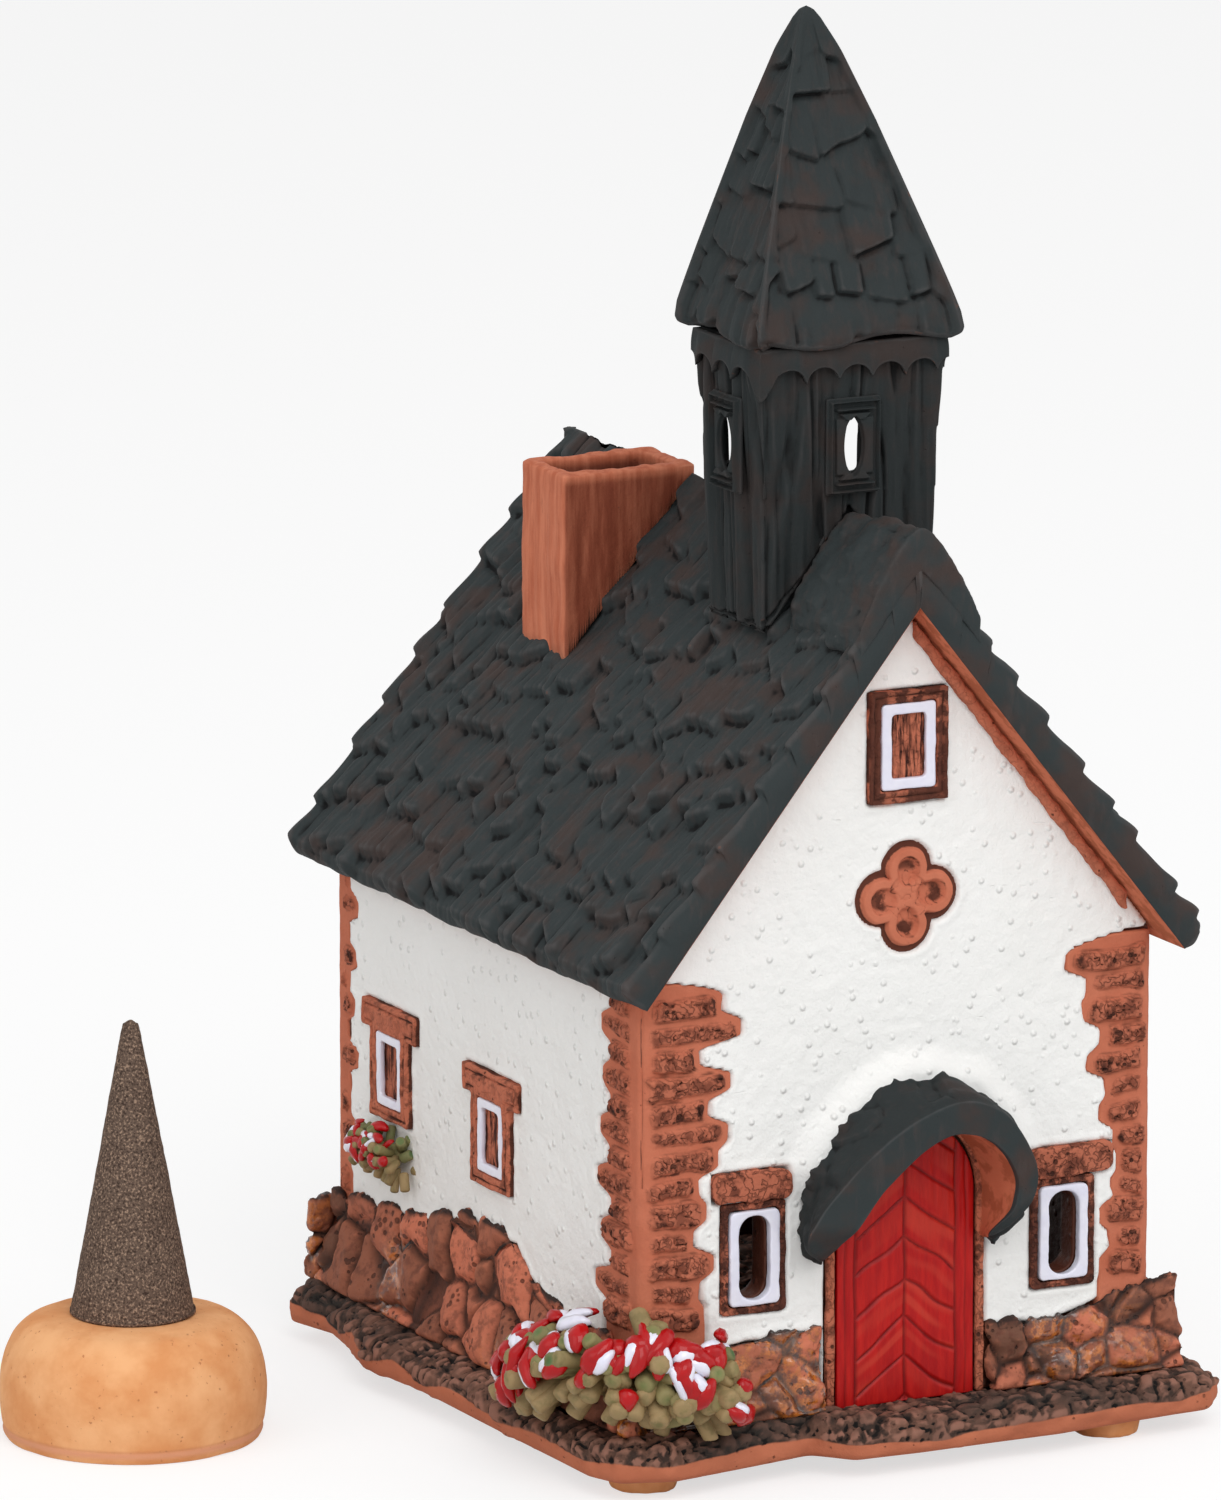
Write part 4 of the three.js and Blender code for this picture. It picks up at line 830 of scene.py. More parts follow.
def skirted(top, under, out, bulge, seed):
    """Closes the edge of a grid down to a flat underside. Under and out give, for each edge point, where it
    comes down to and which way the edge face looks."""
    rows, columns = top.shape[:2]
    edge = edge_walk(rows, columns)
    flat_top = top.reshape(-1, 3)
    start = flat_top[edge]
    lower = under.reshape(-1, 3)[edge]
    ways = out.reshape(-1, 3)[edge]
    points, faces = [flat_top], [grid_faces(rows, columns)]
    previous = edge
    for step in range(1, SKIRT_STEPS + 1):
        share = step / SKIRT_STEPS
        line = start + (lower - start) * share
        swell = bulge * math.sin(math.pi * min(share * 1.05, 1)) * (1 + 0.6 * noise(line, 3.0, seed))
        line = line + ways * np.asarray(swell)[:, None]
        ring = len(flat_top) + (step - 1) * len(edge) + np.arange(len(edge))
        faces.append(np.stack([np.roll(previous, -1), previous, ring, np.roll(ring, -1)], axis=1))
        points.append(line)
        previous = ring
    return np.concatenate(points), [np.concatenate(faces), previous[::-1][None, :]]


def shingled_height(down, y, seed):
    """Height of the shingles over a roof slab's outer plane, with stepped verges and a rounded eave."""
    first = RIDGE_FLAT_DROP / math.sin(PITCH)
    course = (ROOF_LENGTH - first) / COURSES
    ends = first + course * np.arange(1, COURSES + 1)
    ends[-1] -= 0.4
    flaps = shingle_flaps(ends, VERGE_FRONT, VERGE_BACK, SHINGLE_WIDTH, SHINGLE_WANDER, seed)
    flat = np.stack([down, y, np.zeros_like(y)], axis=-1).reshape(-1, 3)
    bend = (0.8 * noise(flat, 6.0, seed)).reshape(down.shape)
    sway = (0.6 * noise(flat, 5.0, seed + 1)).reshape(down.shape)
    height = softened(lay_shingles(down + bend, y + sway, flaps, SHINGLE_DEPTH), SHINGLE_BLUR)
    grooves = 0.2 * rough(flat, [4.0, 0.6, 1.0], seed + 3)
    height += (0.2 * rough(flat, 5.0, seed + 2) + grooves).reshape(down.shape)
    verge = np.minimum(y - VERGE_FRONT, VERGE_BACK - y)
    rim = smooth(1.3 - verge / 1.1)
    phase = ((down - first + 2 * bend) / course) % 1
    stepped = -0.75 + 0.85 * smooth(phase / 0.9) * smooth((1 - phase) / 0.1)
    waves = (0.15 * noise(flat, [3.0, 9.0, 1.0], seed + 4)).reshape(down.shape)
    height = height * (1 - rim) + rim * (stepped + waves)
    height -= 0.5 * (1 - smooth(verge / 0.5)) ** 2 + 0.7 * (1 - smooth((ROOF_LENGTH - down) / 1.0)) ** 2
    return np.minimum(height, RIDGE_LOW + RIDGE_ROUND * (down - RIDGE_START))


def roof_slab(name, side, seed):
    """One side of the roof with its shingles, bare clay underneath, and on the left the flue's hole."""
    step = ROOF_STEP * COARSER
    down_line = np.linspace(RIDGE_START, ROOF_LENGTH, int(ROOF_LENGTH / step))
    along_line = np.linspace(VERGE_FRONT, VERGE_BACK, int((VERGE_BACK - VERGE_FRONT) / step))
    down, y = np.meshgrid(down_line, along_line, indexing="ij")
    top = roof_spot(side, down, shingled_height(down, y, seed), y)
    ridge_under = ROOF_THICK * math.tan(PITCH)
    from_eave = ROOF_LENGTH - down
    stretched = ROOF_LENGTH - from_eave * (ROOF_LENGTH - ridge_under) / (ROOF_LENGTH - RIDGE_START)
    under = roof_spot(side, stretched, -float(ROOF_THICK), y)
    out = np.zeros_like(top)
    out[:, 0] = (0, -1, 0)
    out[:, -1] = (0, 1, 0)
    out[-1] = (side * math.cos(PITCH), 0, -math.sin(PITCH))
    points, sets = skirted(top, under, out, 0.35, seed)
    if side < 0:
        low, high = house_box("chimney")
        shaft = box_solid(low + FLUE_WALL + [0, 0, -FLUE_REACH], high - FLUE_WALL + [-0.6, 0, FLUE_REACH])
        points, sets = carved(points, sets, *shaft)
    depth = (roof_height(points[:, 0]) - points[:, 2]) * math.cos(PITCH)
    piece(name, points, sets, "charcoal", [name], bare=smooth((depth - ROOF_THICK + 0.12) / 0.08))


# Pieces made from the CAD solids, and the lump of clay before the tower

TOWER_Y = -18.8
TOWER_HALF_X = 10.9
TOWER_HALF_Y = 7.6
TOWER_TOP = 117.4


def swollen(node, fineness, rounds, *layers):
    """A CAD solid in even squares, softened, then raised or sunk by layers of noise. A layer is its size,
    its height and its seed."""
    points, sets, ways = surface(node, fineness, rounds)
    raised = sum(height * rough(points, size, seed) for size, height, seed in layers)
    return points + ways * np.asarray(raised)[:, None], sets


def ridge_lump():
    """A mound of clay pressed over the front end of the ridge, flush with the verge."""
    front = VERGE_FRONT - 0.4
    back = TOWER_Y - TOWER_HALF_Y + 0.4
    share, y = np.meshgrid(np.linspace(-1, 1, 61), np.linspace(front, back, 24), indexing="ij")
    x = share * LUMP_HALF
    rounded = np.sqrt(x * x + 3) - math.sqrt(3)
    sunk = 0.9 * np.abs(share) ** 6 + 1.2 * (y - front) / (back - front) * (1 - share ** 2)
    top = ROOF_APEX - math.tan(PITCH) * rounded + LUMP_RISE * (1 - share ** 2) ** 1.4 - sunk
    over = np.stack([x, y, top], axis=-1)
    below = np.stack([x, y, roof_height(x) - LUMP_SINK], axis=-1)[::-1]
    points, sets = tube(np.concatenate([over, below]).transpose(1, 0, 2))
    points, sets = evened(mesh_of("lump", points, outward(points, sets)), 0.26)
    points = relaxed(points, sets, 8)
    raised = 0.75 * rough(points, 3.4, 3) + 0.35 * rough(points, [1.2, 5, 1.2], 4)
    raised = raised * (1 - 0.7 * smooth((VERGE_FRONT + 0.3 - points[:, 1]) / 0.4))
    points = points + facing(points, sets) * raised[:, None]
    piece("ridge_lump", points, sets, "charcoal", ["ridge_lump"])


# Bell tower and spire

SPIRE_HALF_X = 11.7
SPIRE_HALF_Y = 9.1
SPIRE_LEAN = -1.7
SPIRE_TIP = 151.8
# The spire's width at each height, as a share of its full width
SPIRE_SHARES = [(117.45, 0.93), (117.9, 0.985), (118.6, 1.0), (120.1, 0.98), (123.1, 0.9), (126.2, 0.816),
                (131.6, 0.664), (140, 0.426), (148, 0.175), (150.6, 0.095), (151.5, 0.05),
                (SPIRE_TIP, 0.004)]
SPIRE_COLUMNS = 92
SPIRE_ROWS = 190
SPIRE_COURSES = 7
SPIRE_FLAP_WIDTHS = (4.4, 3.8)
CORNICE_COLUMNS = 150
CORNICE_ROWS = 14
FRAME_WIDTH = 6.2
FRAME_POINTS = 300
FRAME_ROWS = 56
SLIT_TALL = 6.2
SLIT_WIDTH = 2.3
SIDE_SLIT_WIDTH = 3.2
SLIT_BEHIND = 4
# Where each cut behind a side slit starts under the wall's face, and how far it goes towards the back
SLIT_CUTS = ((-2, 1.5), (0.3, 3.4))


def slit_blocks(side, name):
    """Blocks that open a side slit through the tower's wall, and wider on the inside."""
    low, high = house_box(f"tower_window_{name}")
    middle = (low + high) / 2
    for start, widened in SLIT_CUTS:
        walls = sorted((side * (TOWER_HALF_X - start), side * (TOWER_HALF_X - SLIT_BEHIND)))
        yield box_solid(np.array([walls[0], middle[1] - 1.5, middle[2] - 2.7]),
                        np.array([walls[1], middle[1] + widened, middle[2] + 2.7]))


def tower_body():
    """Boards gouged into the tower, with ragged ends just over the roof, and its side slits cut through."""
    points, sets, ways = surface("tower_body", 0.25, 3)
    local = points - [0, TOWER_Y, 0]
    outer = np.maximum(np.abs(local[:, 0]) / TOWER_HALF_X, np.abs(local[:, 1]) / TOWER_HALF_Y)
    skin = smooth((outer - 0.8) / 0.06) * (np.abs(ways[:, 2]) < 0.7)
    leaning = points * [1, 1, 0] + points[:, 2:] * [0.02, 0.02, 0]
    gouges = rough(leaning + points[:, 2:] * [0, 0, 1], [1.05, 1.05, 17], 31, 3)
    cuts = smooth((0.22 - np.abs(noise(points, [1.7, 1.7, 30], 36))) / 0.2)
    boards = chance(np.floor(points / [2.4, 2.4, 400]).astype(np.int64), 33) - 0.5
    hem = points[:, 2] - roof_height(points[:, 0]) - 1.2 - 1.3 * boards
    ragged = 0.8 * (1 - smooth(hem / 0.5))
    offset = skin * (0.48 * gouges - 0.55 * cuts - ragged)
    points = points + ways * offset[:, None]
    for side, name in ((-1, "left"), (1, "right")):
        for block in slit_blocks(side, name):
            points, sets = carved(points, sets, *block)
    piece("tower_body", points, sets, "charcoal", ["tower_body"], sooty=0.8)


def boxed_ring(columns):
    """Walks round a rectangle from its front left corner: which side, how far along it from -1 to 1, and
    its place as shares of the half width and half depth."""
    along = np.tile(np.linspace(-1, 1, columns, endpoint=False), 4)
    side = np.repeat(np.arange(4), columns)
    one = np.ones_like(along)
    x = np.choose(side, [along, one, -along, -one])
    y = np.choose(side, [-one, along, one, -along])
    return side, along, x, y


def push_out(x_share, y_share, height):
    """Moves the side of a boxed section out by a height, and a corner out both ways."""
    return (np.sign(x_share) * smooth((np.abs(x_share) - 0.93) / 0.07) * height,
            np.sign(y_share) * smooth((np.abs(y_share) - 0.93) / 0.07) * height)


def spire():
    """Four steep faces with broad clay shingles, a rib down each corner and a soft wavy rim."""
    columns = int(SPIRE_COLUMNS / COARSER)
    side, along, x_share, y_share = boxed_ring(columns)
    heights = np.array([z for z, _ in SPIRE_SHARES])
    shares = np.array([share for _, share in SPIRE_SHARES])
    z = np.linspace(0, 1, int(SPIRE_ROWS / COARSER))
    z = heights[0] + (heights[-1] - heights[0]) * z
    width = np.interp(z, heights, shares)[:, None]
    up = (z[:, None] - heights[0]) * np.ones_like(along)
    half = np.where(side % 2 == 0, SPIRE_HALF_X, SPIRE_HALF_Y)[None, :] * width
    across = along[None, :] * half
    relief = np.zeros_like(up)
    for face in range(4):
        chosen = (side == face)[None, :] & np.ones_like(up, bool)
        ends = -np.linspace(0.4, 29, SPIRE_COURSES)
        flaps = shingle_flaps(ends, -11, 11, SPIRE_FLAP_WIDTHS[face % 2], 1.6, 61 + face)
        spots = np.stack([-up[chosen], across[chosen], np.full(chosen.sum(), face * 40.0)], axis=-1)
        sway = 0.6 * noise(spots, 5.0, 70)
        relief[chosen] = lay_shingles(spots[:, 0] + sway, spots[:, 1] + sway, flaps, 1.3)
        relief[chosen] += 0.45 * rough(spots, [6.0, 0.9, 1], 71 + face) + 0.3 * rough(spots, 3.0, 81 + face)
    relief = softened(relief, 2)
    corner_reach = half - np.abs(across)
    other_reach = np.where(along[None, :] < 0, half + across, half - across)
    rib = smooth(1 - np.minimum(corner_reach, other_reach) / 1.0)
    relief = relief * (1 - rib) + 0.15 * rib
    fade = smooth((heights[-1] - z[:, None]) / 5) * smooth(0.4 + up / 1.5)
    relief = (relief + 0.35) * fade * 0.85
    lean = SPIRE_LEAN * (z[:, None] - heights[0]) / (heights[-1] - heights[0])
    out_x, out_y = push_out(x_share[None, :], y_share[None, :], relief)
    wavy = 0.5 * np.sin(across / 2.6 + side) * smooth(1 - up / 5)
    x = x_share * SPIRE_HALF_X * width + out_x + lean
    y = TOWER_Y + y_share * SPIRE_HALF_Y * width + out_y
    shell = np.stack([x, y, z[:, None] + wavy], axis=-1).reshape(-1, 3)
    base = len(shell)
    foot_middle = [0, TOWER_Y, heights[0] + 0.3]
    tip = [SPIRE_LEAN, TOWER_Y, heights[-1] + 0.05]
    points = np.vstack([shell, [foot_middle], [tip]])
    count = 4 * columns
    ring = np.arange(count)
    bottom = np.stack([np.roll(ring, -1), ring, np.full(count, base)], axis=1)
    last = base - count + ring
    top = np.stack([last, np.roll(last, -1), np.full(count, base + 1)], axis=1)
    sets = [grid_faces(len(z), count, closed_columns=True), np.concatenate([bottom, top])]
    piece("spire", points, sets, "charcoal", ["spire"], sooty=0.3)


def tower_cornice():
    """A smooth band under the spire with shallow scallops, and a broad tongue at its front left corner."""
    columns = int(CORNICE_COLUMNS / COARSER)
    side, along, x_share, y_share = boxed_ring(columns)
    half = np.where(side % 2 == 0, TOWER_HALF_X, TOWER_HALF_Y)
    across = along * half
    reach = half - np.abs(across)
    teeth = np.where(side % 2 == 0, 5.0, 3.0)
    phase = (across / (half - 1.2) * teeth / 2 + 0.5) % 1
    from_tooth = 1 - np.abs(phase - 0.5) * 2
    pointed = 1 - np.sqrt(np.maximum(1 - (1 - from_tooth) ** 2, 0))
    lower = TOWER_TOP - 2.2 - 1.8 * pointed
    tongue = np.where((x_share < 0) & (y_share < 0), 3.6, 0.4)
    lower = np.minimum(lower, TOWER_TOP - 1.8 - tongue * smooth(1 - reach / 2.6))
    down = np.linspace(0, 1, CORNICE_ROWS)[:, None]
    z = TOWER_TOP - 0.1 + (lower - TOWER_TOP) * down
    flush = 0.75 - 0.5 * smooth(1 - reach / 2.6)
    out = flush * np.sin(np.clip(down * 1.6 + 0.35, 0, math.pi / 2))
    out = out + 0.1 * noise(np.stack([across + side * 50, np.zeros_like(across), across * 0], -1), 2.5, 5)
    z_in = np.stack([lower - 0.05, lower + 0.4, np.full_like(lower, TOWER_TOP)])
    out_in = np.stack([np.full_like(lower, 0.25), np.full_like(lower, -0.4), np.full_like(lower, -0.4)])
    z_all = np.vstack([z, z_in])
    out_all = np.vstack([out, out_in])
    out_x, out_y = push_out(x_share[None, :], y_share[None, :], out_all)
    x = x_share * TOWER_HALF_X + out_x
    y = TOWER_Y + y_share * TOWER_HALF_Y + out_y
    points = np.stack([x, y, z_all], axis=-1).reshape(-1, 3)
    sets = [grid_faces(len(z_all), 4 * columns, closed_columns=True, closed_rows=True)]
    piece("tower_cornice", points, sets, "charcoal", ["tower_cornice"], sooty=0.6)


# Each wall's way of placing a point from its distance along the wall, out of it and up
WALLS = {
    "front": lambda across, out, z: (across, -WALL_FRONT - out, z),
    "back": lambda across, out, z: (-across, WALL_BACK + out, z),
    "left": lambda across, out, z: (-WALL_X - out, -across, z),
    "right": lambda across, out, z: (WALL_X + out, across, z),
    "tower front": lambda across, out, z: (across, TOWER_Y - TOWER_HALF_Y - out, z),
    "tower left": lambda across, out, z: (-TOWER_HALF_X - out, TOWER_Y - across, z),
    "tower right": lambda across, out, z: (TOWER_HALF_X + out, TOWER_Y + across, z),
}


def on_wall(wall, across, out, z):
    """Places points by their distance along a wall, out of it and up."""
    return np.stack(np.broadcast_arrays(*WALLS[wall](across, out, z)), axis=-1).reshape(-1, 3)


def outline_box(width, height, corner, count):
    """Points round a rectangle with rounded corners, evenly by angle, as (across, up) from its centre."""
    turn = np.linspace(-math.pi, math.pi, count, endpoint=False)
    power = max(2.0, min(width, height) / max(corner, 0.05) * 1.6)
    reach = (np.abs(np.cos(turn)) ** power + np.abs(np.sin(turn)) ** power) ** (-1 / power)
    square = np.stack([np.cos(turn) * reach, np.sin(turn) * reach], axis=1)
    return square * [width / 2, height / 2]


def ring_plate(inner, outer, profile, rows):
    """A flat ring between two outlines. The profile gives how far it stands out of the wall from its inner
    edge at 0 to its outer edge at 1; its back is a little inside the wall."""
    share = np.linspace(0, 1, rows)[:, None, None]
    front = inner + (outer - inner) * share
    out = profile(share[..., 0], front[..., 0], front[..., 1]) * np.ones(front.shape[:2])
    behind = np.stack([outer, inner])
    across = np.vstack([front[..., 0], behind[..., 0]])
    up = np.vstack([front[..., 1], behind[..., 1]])
    out = np.vstack([out, np.full((2, len(inner)), -0.3)])
    return across, out, up, [grid_faces(rows + 2, len(inner), closed_columns=True, closed_rows=True)]


def lens(width, height, count):
    """A slit with pointed ends and bowed sides."""
    turn = np.linspace(-math.pi, math.pi, count, endpoint=False)
    across = np.cos(turn) * np.abs(np.cos(turn)) ** 0.1
    up = np.sin(turn) * (1 - 0.12 * np.abs(np.cos(turn)))
    return np.stack([across * width / 2, up * height / 2], axis=1)


def tower_window(side, tip):
    """A cut frame round a slit: rails all round, and above and below it a bar over a wedge."""
    name = f"tower_window_{side}"
    low, high = house_box(name)
    middle = (low[2] + high[2]) / 2
    width, height = FRAME_WIDTH, high[2] - low[2]
    count = int(FRAME_POINTS / COARSER)

    def profile(share, across, up):
        """How far the frame stands out at each place."""
        edge = np.minimum(width / 2 - np.abs(across), height / 2 - np.abs(up))
        rail = 0.8 * smooth(1 - np.abs(edge - 0.35) / 0.3)
        bar = 1.0 * smooth(1 - np.abs(np.abs(up) - 3.95) / 0.22) * smooth((2.3 - np.abs(across)) / 0.2)
        narrow = 1.1 + 1.0 * (np.abs(up) - 2.7)
        wedge = 0.7 * smooth((np.abs(up) - 2.7) / 0.15) * smooth((3.6 - np.abs(up)) / 0.15)
        wedge = wedge * smooth((narrow - np.abs(across)) / 0.2)
        jamb = 0.42 * smooth((2.3 - np.abs(across)) / 0.2) * smooth((3.2 - np.abs(up)) / 0.3)
        raised = np.max([rail, bar, wedge, jamb, np.full_like(rail, 0.12)], axis=0)
        return raised * smooth(share * 16) * smooth((1 - share) * 24 + 0.1)

    outline = outline_box(width, height, 0.15, count)
    slit = lens(SLIT_WIDTH if side == "front" else SIDE_SLIT_WIDTH, SLIT_TALL, count)
    across, out, up, sets = ring_plate(slit, outline, profile, FRAME_ROWS)
    spots = np.stack([across, up, across * 0], -1).reshape(-1, 3)
    out = out + 0.12 * noise(spots, [0.7, 4, 1], tip).reshape(out.shape)
    points = on_wall(f"tower {side}", across, out, up + middle)
    piece(name, points, sets, "charcoal", [name], sooty=0.7)


roof_slab("roof_left", -1, 11)
roof_slab("roof_right", 1, 23)
ridge_lump()
tower_body()
spire()
tower_cornice()
for count, tower_side in enumerate(("front", "left", "right")):
    tower_window(tower_side, 90 + count)


# Walls

DOOR_X = 0.65
DOOR_SPRING = 28.2
DOOR_EDGE = 9.5
CANOPY_X = 1.8
CANOPY_Z = 28.5
CANOPY_OUTER = 12.6
QUOIN_HEIGHT = 2.77
PLATE_MARGIN = 0.7
PLATE_PROUD = 0.25
STRIP_WIDTH = 1.5
CORNER_ROUND = 1.0
HEAD_EAR = 2
FOIL_LOBE = 3.0
FOIL_SPREAD = 3.0
HEAD_HEIGHT = 3
WALL_FINENESS = 0.32


def corner_of(name):
    """Which corner a stack of stones is at: its side in x and in y, and how far off its gable is."""
    side_x = -1 if name.endswith("left") else 1
    side_y = -1 if "front" in name else 1
    return side_x, side_y, WALL_FRONT if side_y < 0 else WALL_BACK


def read_courses(name):
    """How far each course of corner stones reaches along the gable and the side, and the stack's foot and
    top."""
    low, high = house_box(name)
    side_x, side_y, wall_y = corner_of(name)
    reaches = np.zeros((round((high[2] - low[2]) / QUOIN_HEIGHT), 2))
    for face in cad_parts[name].data.polygons:
        spot = (np.array(face.center) - MIDDLE) / MM
        course = int((spot[2] - low[2]) / QUOIN_HEIGHT)
        if face.normal.x * side_x < -0.9 and side_y * spot[1] > wall_y - 0.3:
            reaches[course, 0] = WALL_X - side_x * spot[0]
        if face.normal.y * side_y < -0.9 and side_x * spot[0] > WALL_X - 0.3:
            reaches[course, 1] = wall_y - side_y * spot[1]
    return reaches, low[2], high[2]


STONE_COURSES = {f"quoins_{end}_{side}": read_courses(f"quoins_{end}_{side}")
                 for end in ("front", "back") for side in ("left", "right")}


def stone_edge(name, column, z):
    """How far the clay under a corner's stones reaches along a wall by height; column 0 is the gable."""
    reaches, bottom, top = STONE_COURSES[name]
    place = (z - bottom) / QUOIN_HEIGHT - 0.5
    below = np.clip(np.floor(place).astype(int), 0, len(reaches) - 1)
    above = np.clip(np.floor(place).astype(int) + 1, 0, len(reaches) - 1)
    share = smooth((place - np.floor(place) - 0.25) / 0.5)
    reach = reaches[below, column] * (1 - share) + reaches[above, column] * share + PLATE_MARGIN
    over = z - top - PLATE_MARGIN / 2
    return reach - np.where(over > -1, 1.6 * np.maximum(over + 1, 0) ** 2, 0)


def outside(across, up, low, high):
    """How far places on a wall are outside a rectangle; its corners are pairs of across and up."""
    aside = np.abs(across - (low[0] + high[0]) / 2) - (high[0] - low[0]) / 2
    above = np.abs(up - (low[1] + high[1]) / 2) - (high[1] - low[1]) / 2
    return np.hypot(np.maximum(aside, 0), np.maximum(above, 0)) + np.minimum(np.maximum(aside, above), 0)


def outside_piece(node, across, up, axis):
    """How far places on a wall are outside the box of a piece; axis is the one along the wall."""
    low, high = house_box(node)
    return outside(across, up, (low[axis], low[2]), (high[axis], high[2]))


def outside_side_window(node, across, up):
    """How far places are outside a side window, which is wider at its head."""
    low, high = house_box(node)
    body = outside(across, up, (low[1] + HEAD_EAR, low[2]), (high[1] - HEAD_EAR, high[2]))
    head = outside(across, up, (low[1], high[2] - HEAD_HEIGHT), (high[1], high[2]))
    return np.minimum(body, head)


def foot_stones(name, axis, along):
    """Height of the stones at the foot of a wall, at each place along it; none beyond their ends."""
    corners = np.array([vertex.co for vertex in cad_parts[name].data.vertices])
    spots = (corners - MIDDLE) / MM
    places = np.unique(np.round(spots[:, axis], 1))
    tops = [spots[np.abs(spots[:, axis] - place) < 0.1, 2].max() for place in places]
    return np.interp(along, places, tops, left=0, right=0)


def plaster(clear, points):
    """How far the plaster stands out of its wall, from how clear it is of the pieces that it ends at."""
    thick = 0.42 + 0.12 * rough(points, 3.0, 41) + 0.15 * noise(points, 13.0, 42)
    thick = thick + 0.07 * rough(points, 0.9, 43, 2)
    lip = 0.14 * smooth(1 - np.abs(clear - 0.5) / 0.7)
    return -0.55 + (0.55 + thick + lip) * smooth((clear + 0.3) / 0.45)


def raw_clay(ways, points, axis, clear):
    """Where a wall is bare: inside the house, in its reveals, and under the pieces that lie on it."""
    inner = 1 - smooth((np.sign(points[:, axis]) * ways[:, axis] - 0.15) / 0.3)
    return np.maximum(inner, 1 - smooth((clear + 0.3) / 0.2))


def gable_wall(name):
    """A plastered gable wall, thick round its corner stones and windows; the front one rises over the
    canopy."""
    points, sets, ways = surface(name, WALL_FINENESS, 2)
    front = name == "front_wall"
    outer = smooth(ways[:, 1] * (-2 if front else 2) - 1)
    x, z = points[:, 0], points[:, 2]
    end = "front" if front else "back"
    clear = np.min([WALL_X + x - stone_edge(f"quoins_{end}_left", 0, z),
                    WALL_X - x - stone_edge(f"quoins_{end}_right", 0, z),
                    z - foot_stones(f"plinth_{end}_left", 0, x) + 0.4,
                    z - foot_stones(f"plinth_{end}_right", 0, x) + 0.4], axis=0)
    clear = clear + 0.3 * noise(points, 1.8, 40)
    doorway = np.hypot(x - DOOR_X, np.maximum(z - DOOR_SPRING, 0)) - DOOR_EDGE
    clear = np.minimum(clear, doorway)
    if front:
        trims = ["gable_window_surround"] + [f"front_window_{side}_{part}" for side in ("left", "right")
                                             for part in ("surround", "lintel")]
        clear = np.min([clear] + [outside_piece(node, x, z, 0) for node in trims], axis=0)
        low, high = house_box("quatrefoil")
        middle = (low + high) / 2
        lobes = [(FOIL_SPREAD, 0), (-FOIL_SPREAD, 0), (0, FOIL_SPREAD), (0, -FOIL_SPREAD)]
        from_lobes = [np.hypot(x - middle[0] - a, z - middle[2] - b) - FOIL_LOBE for a, b in lobes]
        clear = np.min([clear] + from_lobes, axis=0)
    raised = plaster(clear, points)
    if front:
        reach = np.hypot(x - CANOPY_X, z - CANOPY_Z) - CANOPY_OUTER + 0.5 * noise(points, 3.0, 44)
        above = smooth((z - CANOPY_Z) / 5)
        raised = raised + 1.3 * above * smooth(1 - np.maximum(reach, 0) / 3.4) * smooth((reach + 1.6) / 0.6)
    points = points + ways * (raised * outer)[:, None]
    piece(name, points, sets, "white", [name], raw=raw_clay(ways, points, 1, clear))


def side_wall(name):
    """A plastered side wall, thick round its corner stones and windows."""
    points, sets, ways = surface(name, WALL_FINENESS, 2)
    side = name.split("_")[0]
    y, z = points[:, 1], points[:, 2]
    clear = np.min([y + WALL_FRONT - stone_edge(f"quoins_front_{side}", 1, z),
                    WALL_BACK - y - stone_edge(f"quoins_back_{side}", 1, z),
                    z - foot_stones(f"plinth_{side}", 1, y) + 0.9], axis=0)
    clear = clear + 0.3 * noise(points, 1.8, 40)
    windows_here = [f"{side}_window_{place}_surround" for place in ("front", "rear")]
    clear = np.min([clear] + [outside_side_window(node, y, z) for node in windows_here], axis=0)
    outer = smooth(ways[:, 0] * (-2 if side == "left" else 2) - 1)
    points = points + ways * (plaster(clear, points) * outer)[:, None]
    piece(name, points, sets, "white", [name], raw=raw_clay(ways, points, 0, clear))


for wall_name in ("front_wall", "back_wall"):
    gable_wall(wall_name)
for wall_name in ("left_wall", "right_wall"):
    side_wall(wall_name)


# Corner stones, plinths and base slab

QUOIN_STEP = 0.19
QUOIN_BACK = -1.3
CORNER_ARC = CORNER_ROUND * math.pi / 4


def round_corner(name, t, z, height):
    """A sheet wrapped round a corner of the house; t runs from the gable over the edge to the side."""
    side_x, side_y, wall_y = corner_of(name)
    turn = np.clip((t + CORNER_ARC) / (2 * CORNER_ARC), 0, 1) * math.pi / 2
    from_gable = np.where(t < -CORNER_ARC, -t - CORNER_ARC, 0)
    from_side = np.where(t > CORNER_ARC, t - CORNER_ARC, 0)
    out = CORNER_ROUND + height
    x = side_x * (WALL_X - CORNER_ROUND - from_gable + out * np.sin(turn))
    y = side_y * (wall_y - CORNER_ROUND - from_side + out * np.cos(turn))
    return np.stack([x, y, z], axis=-1)


